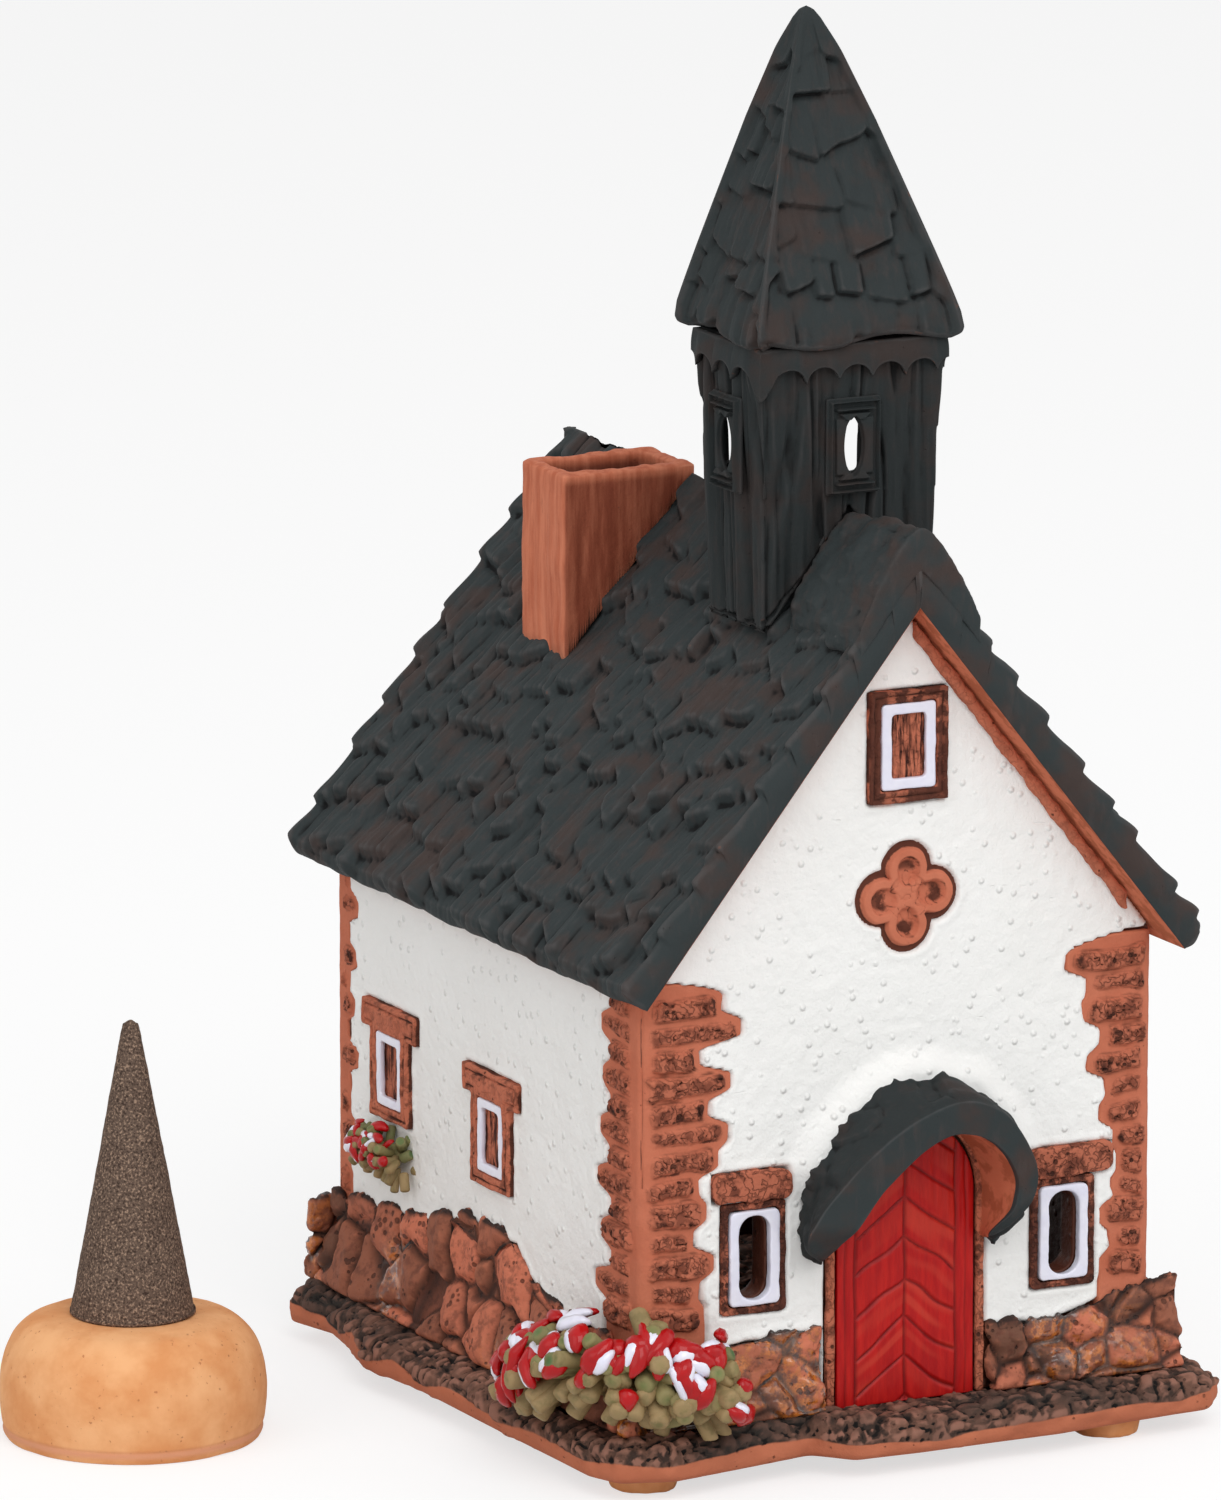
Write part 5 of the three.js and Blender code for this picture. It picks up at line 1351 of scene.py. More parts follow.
def quoin(name):
    """Corner stones one over another on a plate of plain clay that ends in waves, with a seam down the
    corner."""
    reaches, bottom, top = STONE_COURSES[name]
    side_x, side_y, _ = corner_of(name)
    step = QUOIN_STEP * COARSER
    count = int((2 * reaches.max() + 3) / step)
    up_line = np.linspace(bottom - 4, top + 1.2, int((top - bottom + 5.2) / step))
    share, z = np.meshgrid(np.linspace(-1, 1, count), up_line, indexing="ij")
    column = np.where(share < 0, 0, 1)
    plate = np.where(column == 0, stone_edge(name, 0, z), stone_edge(name, 1, z))
    t = share * np.maximum(plate + 0.5 + CORNER_ARC - CORNER_ROUND, 1.0)
    flat = np.stack([t + side_x * 40, z, np.full_like(t, side_y * 30)], axis=-1).reshape(-1, 3)

    def waves(size, seed):
        """Smooth noise over the sheet."""
        return noise(flat, size, seed).reshape(t.shape)

    along = np.abs(t) + CORNER_ROUND - CORNER_ARC
    sway = 0.35 * waves([5.0, 3.0, 1.0], 51) + 0.2 * waves(1.5, 52)
    course = np.clip(((z + sway - bottom) / QUOIN_HEIGHT).astype(int), 0, len(reaches) - 1)
    own = chance(np.stack([course, column, course * 0], -1).reshape(-1, 3), 55).reshape(t.shape)
    middle = bottom + QUOIN_HEIGHT * (course + 0.5)
    tall = np.where(course % 2 == 0, 1.42, 1.15) * (1 - 0.25 * own)
    reach = reaches[course, column]
    from_end = reach - along + 0.35 * waves(1.1, 56)
    off = np.abs(z + sway - middle)
    corner_in = np.hypot(np.maximum(1.0 - from_end, 0), np.maximum(off - tall + 1.0, 0))
    inside = np.minimum(np.minimum(from_end, tall - off), 1.0 - corner_in)
    strip = np.where(column == 0, 0.35, STRIP_WIDTH) + 0.7 * own + 0.35 * waves(1.3, 57)
    from_strip = along - strip
    stone = smooth(inside / 0.38) * smooth(from_strip / 0.6)
    worm = smooth((0.2 - np.abs(waves([0.95, 0.75, 1.0], 58))) / 0.2)
    knobs = rough(flat, 1.3, 53).reshape(t.shape)
    proud = np.where(course % 2 == 0, 1.1, 0.85) - 0.25 * own
    height = PLATE_PROUD + stone * (proud - PLATE_PROUD + 0.2 * knobs - 0.28 * worm)
    seam = smooth(1 - np.abs(t + 0.1 * side_y - 0.12 * waves(4.0, 59)) / 0.16)
    height = height - 0.22 * seam * (waves(5.0, 62) > -0.4)
    edge = plate - along + 0.2 * waves(1.8, 61)
    height = height - 1.4 * (1 - smooth((edge + 0.35) / 0.55))
    height = height + 0.07 * rough(flat, 2.0, 54).reshape(t.shape)
    back = np.full_like(height, QUOIN_BACK)
    points, sets = slab_between(round_corner(name, t, z, height), round_corner(name, t, z, back))
    shade = np.concatenate([stone.ravel(), np.zeros(stone.size)])
    # Painted shade on each stone's lower half and in the line under it; the stone ends are darker too.
    under = smooth((middle - z - sway + 0.1) / 0.9)
    rim = np.maximum(smooth(1.2 - from_end / 1.6) * smooth(0.3 + waves(1.2, 63)),
                     0.8 * under * smooth(waves(1.5, 64)))
    joint = smooth(1 - np.abs(inside + 0.05) / 0.3) * smooth(from_strip / 0.6)
    joint = joint * smooth(0.3 + waves(1.4, 65)) * under
    dark = np.concatenate([np.maximum(0.9 * rim * stone, 0.85 * joint).ravel(), np.zeros(stone.size)])
    if name.endswith("right"):
        dark = dark * 0.75
    piece(name, points, sets, "terracotta", [name], stone=shade, dark=dark)


def plinth(name, axis, size, seed, glazed):
    """Rough stones along the foot of a wall; axis is the way it faces, and glazed how much glaze they
    carry."""
    points, sets, ways = surface(name, 0.28, 22)
    flat = points + 1.2 * np.stack([noise(points, 4.0, seed + 7 + i) for i in range(3)], axis=1)
    flat[:, axis] *= 0.15
    inside, own = stones(flat, size, seed)
    crown = smooth(inside / 0.4)
    joint = 1 - smooth(inside / 0.13)
    swell = 0.75 if axis else 1.15
    relief = swell * (crown ** 0.5 - 0.7) + 0.3 * rough(points, 1.6, seed + 4) + (own - 0.5) * 0.5
    relief = relief - 0.35 * joint
    worm = smooth((0.16 - np.abs(noise(points, 1.1, seed + 6))) / 0.16)
    relief = relief - 0.22 * worm * (1 if axis else 0.4)
    relief = np.maximum(relief * smooth((points[:, 2] - FLOOR_Z) / 0.8), -0.5 if axis else -0.85)
    crest = smooth((ways[:, 2] - 0.35) / 0.4)
    relief = relief + crest * 0.8 * np.abs(rough(points, 1.3, seed + 8))
    points = points + ways * relief[:, None]
    pool = smooth((noise(points, 9.0, seed + 5) + glazed) / 0.5)
    piece(name, points, sets, "stones", [name], stone=own, joint=joint, glaze=pool, crest=crest)


def base_slab():
    """A thick hand-cut slab: a crumbly dark top that falls to a broken rim, over a band of bare clay."""
    points, sets, ways = surface("base_slab", 0.42, 4)
    high = 4.1 + 0.9 * noise(points, 6.0, 95)
    on_top = smooth((points[:, 2] - high + 0.6) / 0.8)
    worm = smooth((0.2 - np.abs(noise(points, 1.6, 96))) / 0.2)
    crumbs, own = stones(points, 2.4, 91)
    relief = 0.55 * rough(points, 3.2, 92) + 0.3 * smooth(crumbs / 0.4) + 0.4 * (own - 0.5) - 0.45 * worm
    relief = relief * on_top
    rim = 1 - smooth((np.abs(ways[:, 2]) - 0.5) / 0.3)
    relief = relief + rim * (0.5 * rough(points, [3.5, 3.5, 2.0], 93) + 0.4 * noise(points, 9.0, 94))
    points = points + ways * relief[:, None]
    points[:, 2] = np.maximum(points[:, 2], 2.0)
    piece("base_slab", points, sets, "slab", ["base_slab"], bare=1 - on_top)


def foot(node):
    """A round pad of pale clay under the slab."""
    points, sets = swollen(node, 0.25, 6, (3.0, 0.15, 7))
    points[:, 2] = np.clip(points[:, 2], 0, 2.05)
    piece(node, points, sets, "pale clay", [node], bare=0.0)


for place in ("front_left", "front_right", "back_left", "back_right"):
    quoin("quoins_" + place)
    foot("foot_" + place)
base_slab()
for sides, axis, size, seeds, glazed in ((("left", "right"), 0, 6.4, (111, 121), -0.35),
                                         (("front_left", "front_right"), 1, 5.2, (131, 143), 0.3),
                                         (("back_left", "back_right"), 1, 5.4, (151, 161), 0.0)):
    for place, seed in zip(sides, seeds):
        plinth("plinth_" + place, axis, size, seed, glazed)


# Canopy, door and windows

# The hood's outlines as (across, up): on top by the wall
HOOD_WALL_TOP = [(-9.4, 22.0), (-10.6, 24.2), (-11.0, 27.0), (-10.7, 29.6), (-9.6, 32.6), (-7.6, 36.0),
                 (-5.0, 38.9), (-2.2, 41.0), (1.3, 41.8), (4.8, 40.6), (8.3, 38.6), (11.6, 35.8),
                 (13.6, 32.0), (14.0, 28.0), (12.8, 24.6), (11.0, 22.4)]
# On top at the front
HOOD_FRONT_TOP = [(-11.6, 23.7), (-13.4, 25.0), (-14.0, 26.9), (-12.6, 29.2), (-10.8, 31.1),
                  (-7.7, 33.9), (-3.4, 36.9), (0.9, 38.8), (4.4, 39.4), (7.5, 38.5), (10.1, 36.4),
                  (12.1, 33.2), (12.9, 30.3), (12.2, 27.6), (10.8, 25.4), (9.4, 24.0)]
# Underneath at the front
HOOD_FRONT_UNDER = [(-10.4, 23.7), (-9.6, 25.2), (-8.4, 26.8), (-6.9, 28.7), (-5.4, 30.5), (-3.8, 31.9),
                    (-0.4, 34.5), (2.7, 35.8), (5.3, 35.6), (7.9, 34.4), (9.7, 32.4), (10.7, 29.9),
                    (10.2, 27.2), (9.2, 25.4), (8.0, 24.0)]
# Underneath by the wall
HOOD_WALL_UNDER = [(-8.4, 22.0), (-8.6, 24.6), (-8.5, 27.6), (-7.9, 30.0), (-6.6, 32.4), (-4.6, 34.6),
                   (-2.0, 36.0), (0.7, 36.4), (3.6, 36.0), (6.2, 34.6), (8.2, 32.4), (9.2, 29.6),
                   (9.5, 26.6), (9.5, 23.8), (9.4, 22.2)]
HOOD_WALL_Y = -36.9
HOOD_FRONT_Y = -44.3
HOOD_UNDER_Y = -44.1
HOOD_TIP = 0.035
HOOD_STATIONS = 190
HOOD_ROWS = (34, 16, 30)
HOOD_BACK_ROWS = 4


def porch_canopy():
    """A crumpled hood of dark clay bent over the door, with a smooth front band and bare clay under it."""
    rails = ((HOOD_WALL_TOP, HOOD_WALL_Y), (HOOD_FRONT_TOP, HOOD_FRONT_Y),
             (HOOD_FRONT_UNDER, HOOD_UNDER_Y), (HOOD_WALL_UNDER, HOOD_WALL_Y))
    stations = int(HOOD_STATIONS / COARSER)
    share = np.linspace(0, 1, stations)
    from_tip = np.minimum(share, 1 - share)
    near_tip = 1 - smooth(from_tip / 0.12)
    lines = []
    for rail, y in rails:
        line = evenly(curve_through(rail, 300), stations)
        depth = np.where(y < -40, y + 2.2 * near_tip, y)
        lines.append(np.stack([line[:, 0], depth, line[:, 1]], axis=1))
    counts = [int(many / COARSER) for many in HOOD_ROWS] + [HOOD_BACK_ROWS]
    rows, kinds, reach = [], [], []
    for i, count in enumerate(counts):
        for step in range(count):
            rows.append(lines[i] + (lines[(i + 1) % 4] - lines[i]) * step / count)
            kinds.append(i)
            reach.append(step / count)
    grid = np.array(rows).transpose(1, 0, 2)
    middle = grid.mean(axis=1, keepdims=True)
    rounded = np.clip(1 - (1 - from_tip / HOOD_TIP) ** 2, 0.02, 1)
    tip = np.sqrt(np.where(from_tip < HOOD_TIP, rounded, 1))
    points, sets = tube(middle + (grid - middle) * tip[:, None, None])
    sets = outward(points, sets)
    ways = facing(points, sets)
    kind = np.tile(kinds, stations)
    along = np.tile(reach, stations)
    top = kind == 0
    facets, own = stones(points * [1, 0.7, 1], 4.4, 71)
    crumple = 1.1 * (own - 0.5) * smooth(facets / 0.15) + 0.45 * rough(points, 2.6, 72)
    crumbs = smooth((0.34 - along) / 0.2) * (1.3 * np.abs(rough(points, 1.1, 73)) + 0.3)
    relief = top * (smooth((1 - along) / 0.25) * crumple + crumbs) + ~top * 0.12 * rough(points, 2.5, 74)
    points = points + ways * relief[:, None]
    points = relaxed(points, sets, 1)
    under = (kind == 2) * smooth(along / 0.12)
    piece("porch_canopy", points, sets, "charcoal", ["porch_canopy"], bare=under, sooty=0.6 * top)


def door_leaf():
    """Boards in chevrons between two upright borders, cut into red glaze."""
    points, sets, ways = surface("door_leaf", 0.14, 3)
    across = points[:, 0] - DOOR_X + 0.2 * noise(points, 5.0, 6)
    wide = np.abs(across)
    border = np.maximum(smooth(1 - np.abs(wide - 5.9) / 0.32), 0.6 * smooth(1 - np.abs(wide - 7.1) / 0.25))
    centre = smooth(1 - wide / 0.32)
    slope = (points[:, 2] + 0.7 * wide + 0.8 * noise(points, 4.0, 9)) / 4.3
    own = np.floor(slope + 0.5)
    thick = 0.06 + 0.05 * chance(np.stack([own, np.sign(across), own * 0], -1).astype(np.int64), 4)
    chevron = smooth(1 - np.abs((slope % 1) - 0.5) / thick) * (wide < 5.9)
    line = np.max([border, centre, chevron], axis=0)
    front = smooth((-ways[:, 1] - 0.4) / 0.4)
    relief = front * (-0.26 * line + 0.12 * rough(points, [0.8, 1, 6], 8))
    points = points + ways * relief[:, None]
    plank = chance(np.stack([own, np.sign(across), across * 0], -1).astype(np.int64), 5)
    stroke = smooth(0.5 + noise(np.stack([across * 0.4, across * 0, slope * 4.3], -1), [3, 1, 0.9], 10))
    plank = plank * (wide < 5.9) * stroke
    piece("door_leaf", points, sets, "door red", ["door_leaf"], plank=plank, line=line * front)


def clay_trim(node, fineness, rounds, lumps, pitted, stained=0.0):
    """A small terracotta piece on a wall, softened and a little uneven. Pitted is how rough its stain is,
    and stained how much of it the dark stain covers."""
    points, sets = swollen(node, fineness, rounds, (2.2, lumps, 17), (0.8, lumps / 3, 18))
    dark = stained * (0.7 + 0.3 * noise(points, [1.5, 1.5, 4.0], 19))
    piece(node, points, sets, "terracotta", [node], stone=pitted, dark=dark)


def closed_window(name, wall, stained):
    """A window's surround, with a groove round it and a streaked pane sunk in its middle. Wall is the axis
    that its wall faces, and stained how dark its moulding is."""
    node = f"{name}_surround"
    points, sets, ways = surface(node, 0.14, 3)
    low, high = house_box(node)
    across, up = points[:, 1 - wall], points[:, 2]
    edge = outside_piece(node, across, up, 0) if wall else outside_side_window(node, across, up)
    edge = -edge + 0.1 * noise(points, 1.6, 181)
    proud = max(abs(low[wall]), abs(high[wall])) - np.abs(points[:, wall])
    moulding = 1 - smooth((proud - 0.3) / 0.15)
    groove = smooth(1 - np.abs(edge - 0.62) / 0.26) * moulding
    relief = -0.3 * groove + 0.18 * rough(points, 1.8, 182)
    points = points + ways * relief[:, None]
    # Painted shade: the groove and the sides where they meet the wall are darkened; stained adds stain.
    dark = np.maximum(groove, smooth((proud - 0.2) / 0.3) * (edge < 0.25))
    dark = dark * smooth(0.7 + noise(points, 2.0, 183))
    brushed = 0.6 + 0.4 * smooth(0.5 + noise(points, [1.5, 1.5, 5.0], 184))
    dark = np.maximum(dark, stained * moulding * brushed * smooth((1.6 - edge) / 0.5))
    sunk = smooth((proud - 0.45) / 0.2) * smooth((edge - 1.1) / 0.2)
    piece(node, points, sets, "terracotta", [node], stone=0.35, dark=dark, streak=sunk)
    glazed_frame(f"{name}_frame")


def glazed_frame(node):
    """A thick, soft loop of white glaze."""
    points, sets = swollen(node, 0.12, 7, (1.6, 0.12, 27))
    piece(node, points, sets, "white glaze", [node])


def quatrefoil():
    """A smooth ring of four lobes on a dark edge, with a scratched middle that ends in four hollows."""
    low, high = house_box("quatrefoil")
    middle = (low + high) / 2
    step = 0.11 * COARSER
    half = FOIL_LOBE + FOIL_SPREAD + 0.8
    across, up = np.meshgrid(np.arange(-half, half, step), np.arange(-half, half, step), indexing="ij")
    flat = np.stack([across, up, np.zeros_like(up)], axis=-1).reshape(-1, 3)
    wander = (0.16 * noise(flat, 2.6, 171) + 0.07 * noise(flat, 0.9, 172)).reshape(up.shape)
    lobes = [(FOIL_SPREAD, 0.3), (-FOIL_SPREAD, -0.2), (0.1, FOIL_SPREAD), (0, -FOIL_SPREAD)]
    middle_out = np.hypot(across, up)
    from_lobes = [np.hypot(across - a, up - b) - FOIL_LOBE for a, b in lobes]
    edge = np.min(from_lobes + [middle_out - 3.6], axis=0) + wander
    hollows = np.min([np.hypot(across - a, up - b) for a, b in lobes], axis=0) + wander
    nearer = np.min([np.hypot(across - 0.8 * a, up - 0.8 * b) for a, b in lobes], axis=0) + wander
    inner = np.minimum(hollows - 1.4, middle_out - 2.4)
    hollow = 1 - smooth((np.minimum(hollows, nearer) - 0.85) / 0.6)
    ring = 1 - smooth((edge + 0.85) / 0.3)
    height = 0.75 * ring + 0.75 * (1 - smooth((edge - 0.05) / 0.2)) - 0.6
    scratched = smooth(1 - np.abs(noise(flat, 0.7, 174)) / 0.22).reshape(up.shape) * (inner < 0)
    height = height - 0.2 * (1 - smooth((inner + 0.15) / 0.25)) - 0.65 * hollow - 0.12 * scratched
    height = height + 0.05 * rough(flat, 1.6, 173).reshape(up.shape)

    def place(out):
        """The sheet at a height out of the wall."""
        return np.stack([across + middle[0], -WALL_FRONT - out, up + middle[2]], axis=-1)

    points, sets = slab_between(place(height), place(np.full_like(height, -0.9)))
    outlined = smooth(1 - np.abs(inner) / 0.22) * smooth(0.6 + noise(flat, 1.5, 175)).reshape(up.shape)
    # The four hollows are darkened as painted shade; the outer band and the scratches are dark stain.
    stain_and_shade = np.max([0.98 * smooth((edge + 0.7) / 0.2), 0.78 * hollow * smooth((middle_out - 1.9) / 1.4),
                    0.5 * scratched, 0.55 * outlined], axis=0)
    piece("quatrefoil", points, sets, "terracotta", ["quatrefoil"], stone=0.0,
          dark=np.concatenate([stain_and_shade.ravel(), np.ones(stain_and_shade.size)]))


def windows():
    """The ornament, the windows, the door's frame and the beads under the roof."""
    quatrefoil()
    closed_window("gable_window", 1, 1.0)
    for side in ("left", "right"):
        clay_trim(f"front_window_{side}_surround", 0.14, 4, 0.12, 0.8, 0.95)
        clay_trim(f"front_window_{side}_lintel", 0.16, 6, 0.35, 1.0, 0.3)
        glazed_frame(f"front_window_{side}_frame")
        for place in ("front", "rear"):
            closed_window(f"{side}_window_{place}", 0, 0.3)
    clay_trim("door_frame", 0.16, 3, 0.15, 0.6, 0.4)
    for end in ("front", "back"):
        for side in ("left", "right"):
            clay_trim(f"bead_{end}_{side}", 0.25, 4, 0.35, 0.3)


porch_canopy()
door_leaf()
windows()


def chimney():
    """A soft-edged shaft, sooty inside and fired darker on its front."""
    points, sets, ways = surface("chimney", 0.3, 4)
    raised = 0.25 * rough(points, 4.0, 61) + 0.12 * noise(points, [1.0, 1.0, 9.0], 62)
    points = points + ways * raised[:, None]
    points[:, 2] -= 2.4 * smooth((-ways[:, 2] - 0.2) / 0.3)
    low, high = house_box("chimney")
    middle = (low + high) / 2
    inward = np.sum((middle - points)[:, :2] * ways[:, :2], axis=1)
    inside = smooth(inward / 1.5) * smooth((high[2] - 0.6 - points[:, 2]) / 2.5)
    fired = smooth((-ways[:, 1] - 0.3) / 0.4) * smooth((high[2] - 0.4 - points[:, 2]) / 1.0)
    piece("chimney", points, sets, "warm clay", ["chimney"], soot=inside, fired=fired)


chimney()


# Flowers: coils of clay for leaves, under drops of glaze for the blossoms

COIL_SIDES = 10
COIL_CAP = 0.35
DROP_SIDES = 14
SPINE_STEPS = 60


def unit(way):
    """A way with a length of 1."""
    return way / np.linalg.norm(way)


def coil(root, tip, radius):
    """A short roll of clay between two places, with softly rounded ends."""
    length = np.linalg.norm(tip - root)
    way = (tip - root) / length
    aside = unit(np.cross(way, [0.31, 0.17, 0.93]))
    third = np.cross(way, aside)
    cap = radius * COIL_CAP
    stations = [(0.0, 0.02), (0.0, 0.75), (cap, 1.0), (length / 2, 1.0), (length - cap, 1.0),
                (length - cap * 0.3, 0.85), (length, 0.6), (length, 0.02)]
    turn = np.arange(COIL_SIDES) / COIL_SIDES * 2 * math.pi
    around = np.cos(turn)[:, None] * aside + np.sin(turn)[:, None] * third
    return tube([root + way * place + around * radius * share for place, share in stations])


def drop(middle, out, along, sizes):
    """A drop of thick glaze lying on the leaves; sizes are half its length, width and height."""
    across = np.cross(out, along)
    turn = np.arange(DROP_SIDES) / DROP_SIDES * 2 * math.pi
    rings = []
    for tilt in np.linspace(-1.45, 1.45, 7):
        u = np.cos(turn) * math.cos(tilt) ** 0.7
        v = np.sin(turn) * math.cos(tilt) ** 0.7 * (1 + 0.3 * np.cos(turn))
        lift = sizes[2] * math.sin(tilt) - 0.25 * (sizes[0] * u ** 2 + sizes[1] * v ** 2)
        flat = along * (u * sizes[0])[:, None] + across * (v * sizes[1])[:, None]
        rings.append(middle + flat + out * lift[:, None])
    return tube(rings)


def leaf_coil(draw, middle, way, girth):
    """One leaf pointing out of the clump, and how green it is at each of its points."""
    out = way + draw.normal(0, 0.6, 3)
    out[2] = draw.uniform(-1.2, 1.1)
    out = unit(out)
    root = middle + out * girth * 0.35
    tip_way = out + np.array([0, 0, -0.2]) + draw.normal(0, 0.4, 3)
    tip = middle + out * girth * 0.5 + unit(tip_way) * draw.uniform(0.45, 0.72) * girth
    points, sets = coil(root, tip, draw.uniform(0.145, 0.19) * girth)
    green = draw.random() * 0.55 + (0.4 if out[2] > 0.3 else 0.0)
    return (points, sets), np.full(len(points), green)


def blossom(draw, middle, way, girth, red):
    """The red drop of a blossom with, now and then, a white one beside it, or else a white one alone."""
    out = way * 1.1 + draw.normal(0, 0.45, 3)
    out[2] = draw.uniform(-0.35, 1.2)
    out = unit(out)
    spot = middle + out * girth * draw.uniform(1.0, 1.1)
    along = unit(np.cross(out, draw.normal(0, 1, 3)))
    across = np.cross(out, along)
    sizes = np.array([draw.uniform(0.22, 0.46), draw.uniform(0.12, 0.21), 0.1]) * girth
    drops = {"red": [], "white": []}
    if red:
        drops["red"].append(drop(spot, out, along, sizes))
    if not red or draw.random() < 0.45:
        aside = draw.uniform(0.1, 0.17) * girth if red else 0.0
        sizes = sizes * [draw.uniform(0.6, 1.05), 0.75, 0.95]
        drops["white"].append(drop(spot + across * aside - out * 0.02 * girth, out, along, sizes))
    return drops


def clump(name, spine, girth, counts, seed, stands_for, way_out):
    """A clump of leaf coils about a spine, under drops of red and white glaze. Counts are the number of
    leaves, red drops and loose white drops; way_out gives the way that points out of the walls."""
    draw = np.random.default_rng(seed)
    spine = np.array(spine, float)
    steps = np.linspace(0, len(spine) - 1, SPINE_STEPS)
    path = np.stack([np.interp(steps, np.arange(len(spine)), spine[:, axis]) for axis in range(3)], axis=1)
    leaf_count, red_count, white_count = counts
    leaves, greens, drops = [], [], {"red": [], "white": []}
    for i in range(leaf_count):
        middle = path[int((i + draw.random()) / leaf_count * SPINE_STEPS) % SPINE_STEPS]
        leaf, green = leaf_coil(draw, middle, way_out(middle), girth)
        leaves.append(leaf)
        greens.append(green)
    for i in range(red_count + white_count):
        middle = path[int(draw.random() * SPINE_STEPS)]
        for color, more in blossom(draw, middle, way_out(middle), girth, i < red_count).items():
            drops[color] += more
    points, sets = merged(leaves)
    points[:, 2] = np.maximum(points[:, 2], FLOOR_Z + 0.3)
    piece(name, points, sets, "leaves", stands_for, leaf=np.concatenate(greens))
    for color, finish in (("red", "blossom red"), ("white", "white glaze")):
        points, sets = merged(drops[color])
        points = points + facing(points, sets) * (0.25 * noise(points, 1.1, seed + 5))[:, None]
        piece(f"{name}_{color}", points, sets, finish)


def out_of_corner(spot):
    """The level way out of the front left corner."""
    way = spot - np.array([-29, -36, spot[2]])
    return way / max(np.linalg.norm(way), 1e-6)


def out_of_left_wall(_):
    """The level way out of the left wall, the same at every place."""
    return np.array([-1.0, 0.0, 0.0])


BUSH_SPINE = [(-34.4, -25, 9.6), (-35.2, -31, 11.6), (-33.4, -38.0, 14.2), (-29.6, -40.4, 13.8),
              (-25.0, -40.6, 10.6)]
WINDOW_SPINE = [(-30.6, 26.0, 23.4), (-30.8, 21.5, 23.8), (-30.6, 17.0, 22.8)]
clump("flower_bush", BUSH_SPINE, 6.0, (124, 56, 8), 7, ["flower_bush"], out_of_corner)
clump("window_flowers", WINDOW_SPINE, 3.2, (50, 20, 3), 19, ["window_flowers"], out_of_left_wall)


# Holder and cone

HOLDER_TOP = 12.98
HOLDER_COLUMNS = 220
CONE_COLUMNS = 200


def turned(profile, columns, noise_layers):
    """A body turned about the holder's axis; a layer of noise is its size, height and seed."""
    profile = np.array(profile)
    low, high = house_box("incense_holder")
    middle = (low + high) / 2
    turn = np.arange(columns) / columns * 2 * math.pi
    radius, z = profile[:, :1], profile[:, 1:]
    x = middle[0] + radius * np.cos(turn)
    y = middle[1] + radius * np.sin(turn)
    points, sets = tube(np.stack([x, y, z + 0 * x], axis=-1))
    sets = outward(points, sets)
    raised = sum(height * rough(points, size, seed) for size, height, seed in noise_layers)
    return points + facing(points, sets) * np.asarray(raised)[:, None], sets


def holder():
    """A plump round block with a flat top, and a pinker line round it near its foot."""
    side = [(13.4, 0.0), (13.75, 0.7), (13.72, 1.3), (13.9, 1.9), (14.15, 4.4), (13.95, 7.4), (12.9, 10.4),
            (11.0, 12.3), (8.6, 12.95)]
    under = [(0.3, 0.0), (6, 0.0), (11, 0.0)]
    over = [(radius, HOLDER_TOP) for radius in (7, 4, 0.3)]
    profile = under + [tuple(p) for p in curve_through(side, 70)] + over
    points, sets = turned(profile, int(HOLDER_COLUMNS / COARSER), [(9.0, 0.22, 3), (1.8, 0.05, 4)])
    points[:, 2] = np.maximum(points[:, 2], 0)
    ridge = smooth(1 - np.abs(points[:, 2] - 1.0) / 0.7)
    piece("incense_holder", points, sets, "pale clay", ["incense_holder"], body="holder", bare=ridge)


def cone():
    """A pressed cone with a soft foot and a blunt tip."""
    low, high = house_box("incense_cone")
    tall = high[2] - low[2]
    slant = [(6.3, 0.0), (6.62, 0.5), (6.3, 1.8), (3.6, tall * 0.52), (1.15, tall - 1.9),
             (0.72, tall - 0.5), (0.2, tall)]
    profile = [(0.2, 0.0), (3.0, 0.0)] + [tuple(p) for p in curve_through(slant, 150)]
    profile = [(max(radius, 0.15), z + low[2]) for radius, z in profile]
    points, sets = turned(profile, int(CONE_COLUMNS / COARSER), [(4.0, 0.08, 13), (0.5, 0.06, 14)])
    points[:, 2] = np.maximum(points[:, 2], low[2])
    piece("incense_cone", points, sets, "incense", ["incense_cone"], body="cone")


holder()
cone()


# Floor, light and camera

AMBIENT = 0.5
HOUSE_MIDDLE = Vector(MIDDLE) + Vector((0, 0, 0.07))
CAMERA_AZIMUTH = 26.76
CAMERA_ELEVATION = 12.3
CAMERA_DISTANCE = 1.5
CAMERA_LENS = 338.4
AIM_ACROSS = -0.01341
AIM_UP = -0.00612
AIM_HEIGHT = 0.075
FLOOR_HALF = 3


def white_backdrop_share(tree):
    """1 for what the camera sees by itself or in a reflection, 0 for the light that reaches the object."""
    path = add(tree, "LightPath").outputs
    seen = sums(tree, "MAXIMUM", path["Is Camera Ray"], path["Is Glossy Ray"])
    return sums(tree, "MAXIMUM", seen, path["Is Transmission Ray"])


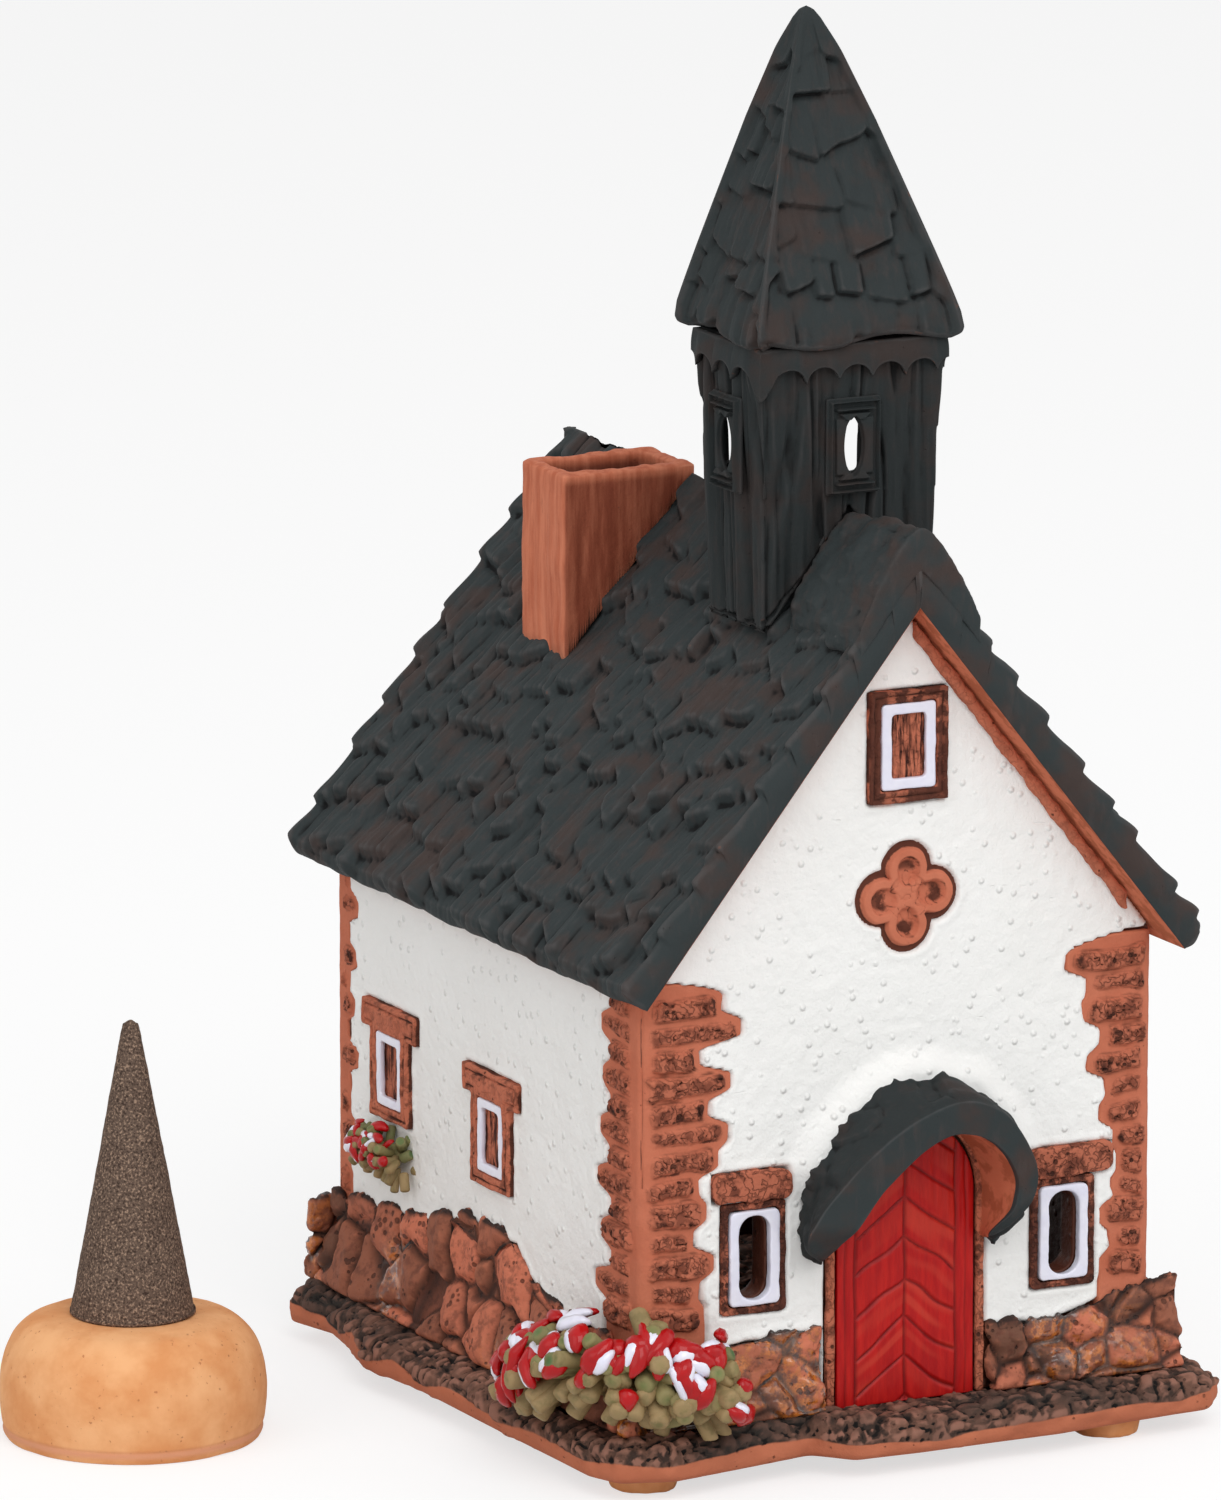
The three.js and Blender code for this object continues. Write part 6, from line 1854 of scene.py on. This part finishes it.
def studio_floor():
    """A pale floor that keeps the object's shadow and shows white to the camera."""
    corners = FLOOR_HALF * np.array([[-1, -1, 0], [1, -1, 0], [1, 1, 0], [-1, 1, 0]], float)
    mesh = mesh_of("floor", corners - [0, 0, 0.00005], [np.array([[0, 1, 2, 3]])])
    material = bpy.data.materials.new("floor")
    material.use_nodes = True
    tree = material.node_tree
    tree.nodes.remove(tree.nodes["Principled BSDF"])
    plain = add(tree, "BsdfDiffuse", Color=rgb(225, 225, 225))
    shaded = add(tree, "BsdfDiffuse", Color=(0.4, 0.4, 0.4, 1))
    lit = add(tree, "Emission", Color=(1, 1, 1, 1), Strength=0.66)
    white = add(tree, "AddShader")
    tree.links.new(shaded.outputs[0], white.inputs[0])
    tree.links.new(lit.outputs[0], white.inputs[1])
    mix = add(tree, "MixShader", Fac=white_backdrop_share(tree))
    tree.links.new(plain.outputs[0], mix.inputs[1])
    tree.links.new(white.outputs[0], mix.inputs[2])
    tree.links.new(mix.outputs[0], tree.nodes["Material Output"].inputs["Surface"])
    mesh.materials.append(material)
    floor = placed("floor", mesh)


def studio_world():
    """Even light from all round, and white behind the object."""
    world = bpy.data.worlds.new("studio")
    world.use_nodes = True
    tree = world.node_tree
    level = between(tree, white_backdrop_share(tree), AMBIENT, 1.0)
    tree.links.new(level, tree.nodes["Background"].inputs["Strength"])
    tree.nodes["Background"].inputs["Color"].default_value = (1, 1, 1, 1)
    bpy.context.scene.world = world


def looking(azimuth, elevation):
    """The way that a lamp or camera looks, from its angles round the house and over the ground."""
    turn, tilt = math.radians(azimuth), math.radians(elevation)
    return Vector((math.sin(turn) * math.cos(tilt), math.cos(turn) * math.cos(tilt), -math.sin(tilt)))


def lamp(name, azimuth, elevation, distance, size, level):
    """A square lamp that gives a white surface facing it the given brightness."""
    ahead = looking(azimuth, elevation)
    light = bpy.data.lights.new(name, "AREA")
    light.shape = "SQUARE"
    light.size = size
    light.energy = level * math.pi ** 2 * distance ** 2
    shape = placed(name, light)
    shape.location = HOUSE_MIDDLE - ahead * distance
    shape.rotation_euler = ahead.to_track_quat("-Z", "Y").to_euler()


def camera():
    """The photograph's viewing angle, from the front left and a little above."""
    turn = math.radians(CAMERA_AZIMUTH)
    ahead = looking(CAMERA_AZIMUTH, CAMERA_ELEVATION)
    right = Vector((math.cos(turn), -math.sin(turn), 0))
    up = right.cross(ahead)
    aim = Vector(MIDDLE) + Vector((0, 0, AIM_HEIGHT)) + right * AIM_ACROSS + up * AIM_UP
    data = bpy.data.cameras.new("camera")
    data.lens = CAMERA_LENS
    data.clip_end = 20
    shape = placed("camera", data)
    shape.location = aim - ahead * CAMERA_DISTANCE
    shape.rotation_euler = ahead.to_track_quat("-Z", "Y").to_euler()
    bpy.context.scene.camera = shape


studio_floor()
studio_world()
lamp("key", 10, 42, 1.4, 0.9, 0.42)
lamp("fill", 75, 25, 1.5, 1.2, 0.2)
lamp("right", -60, 30, 1.6, 1.0, 0.12)
camera()
bpy.context.scene.view_settings.view_transform = "Standard"
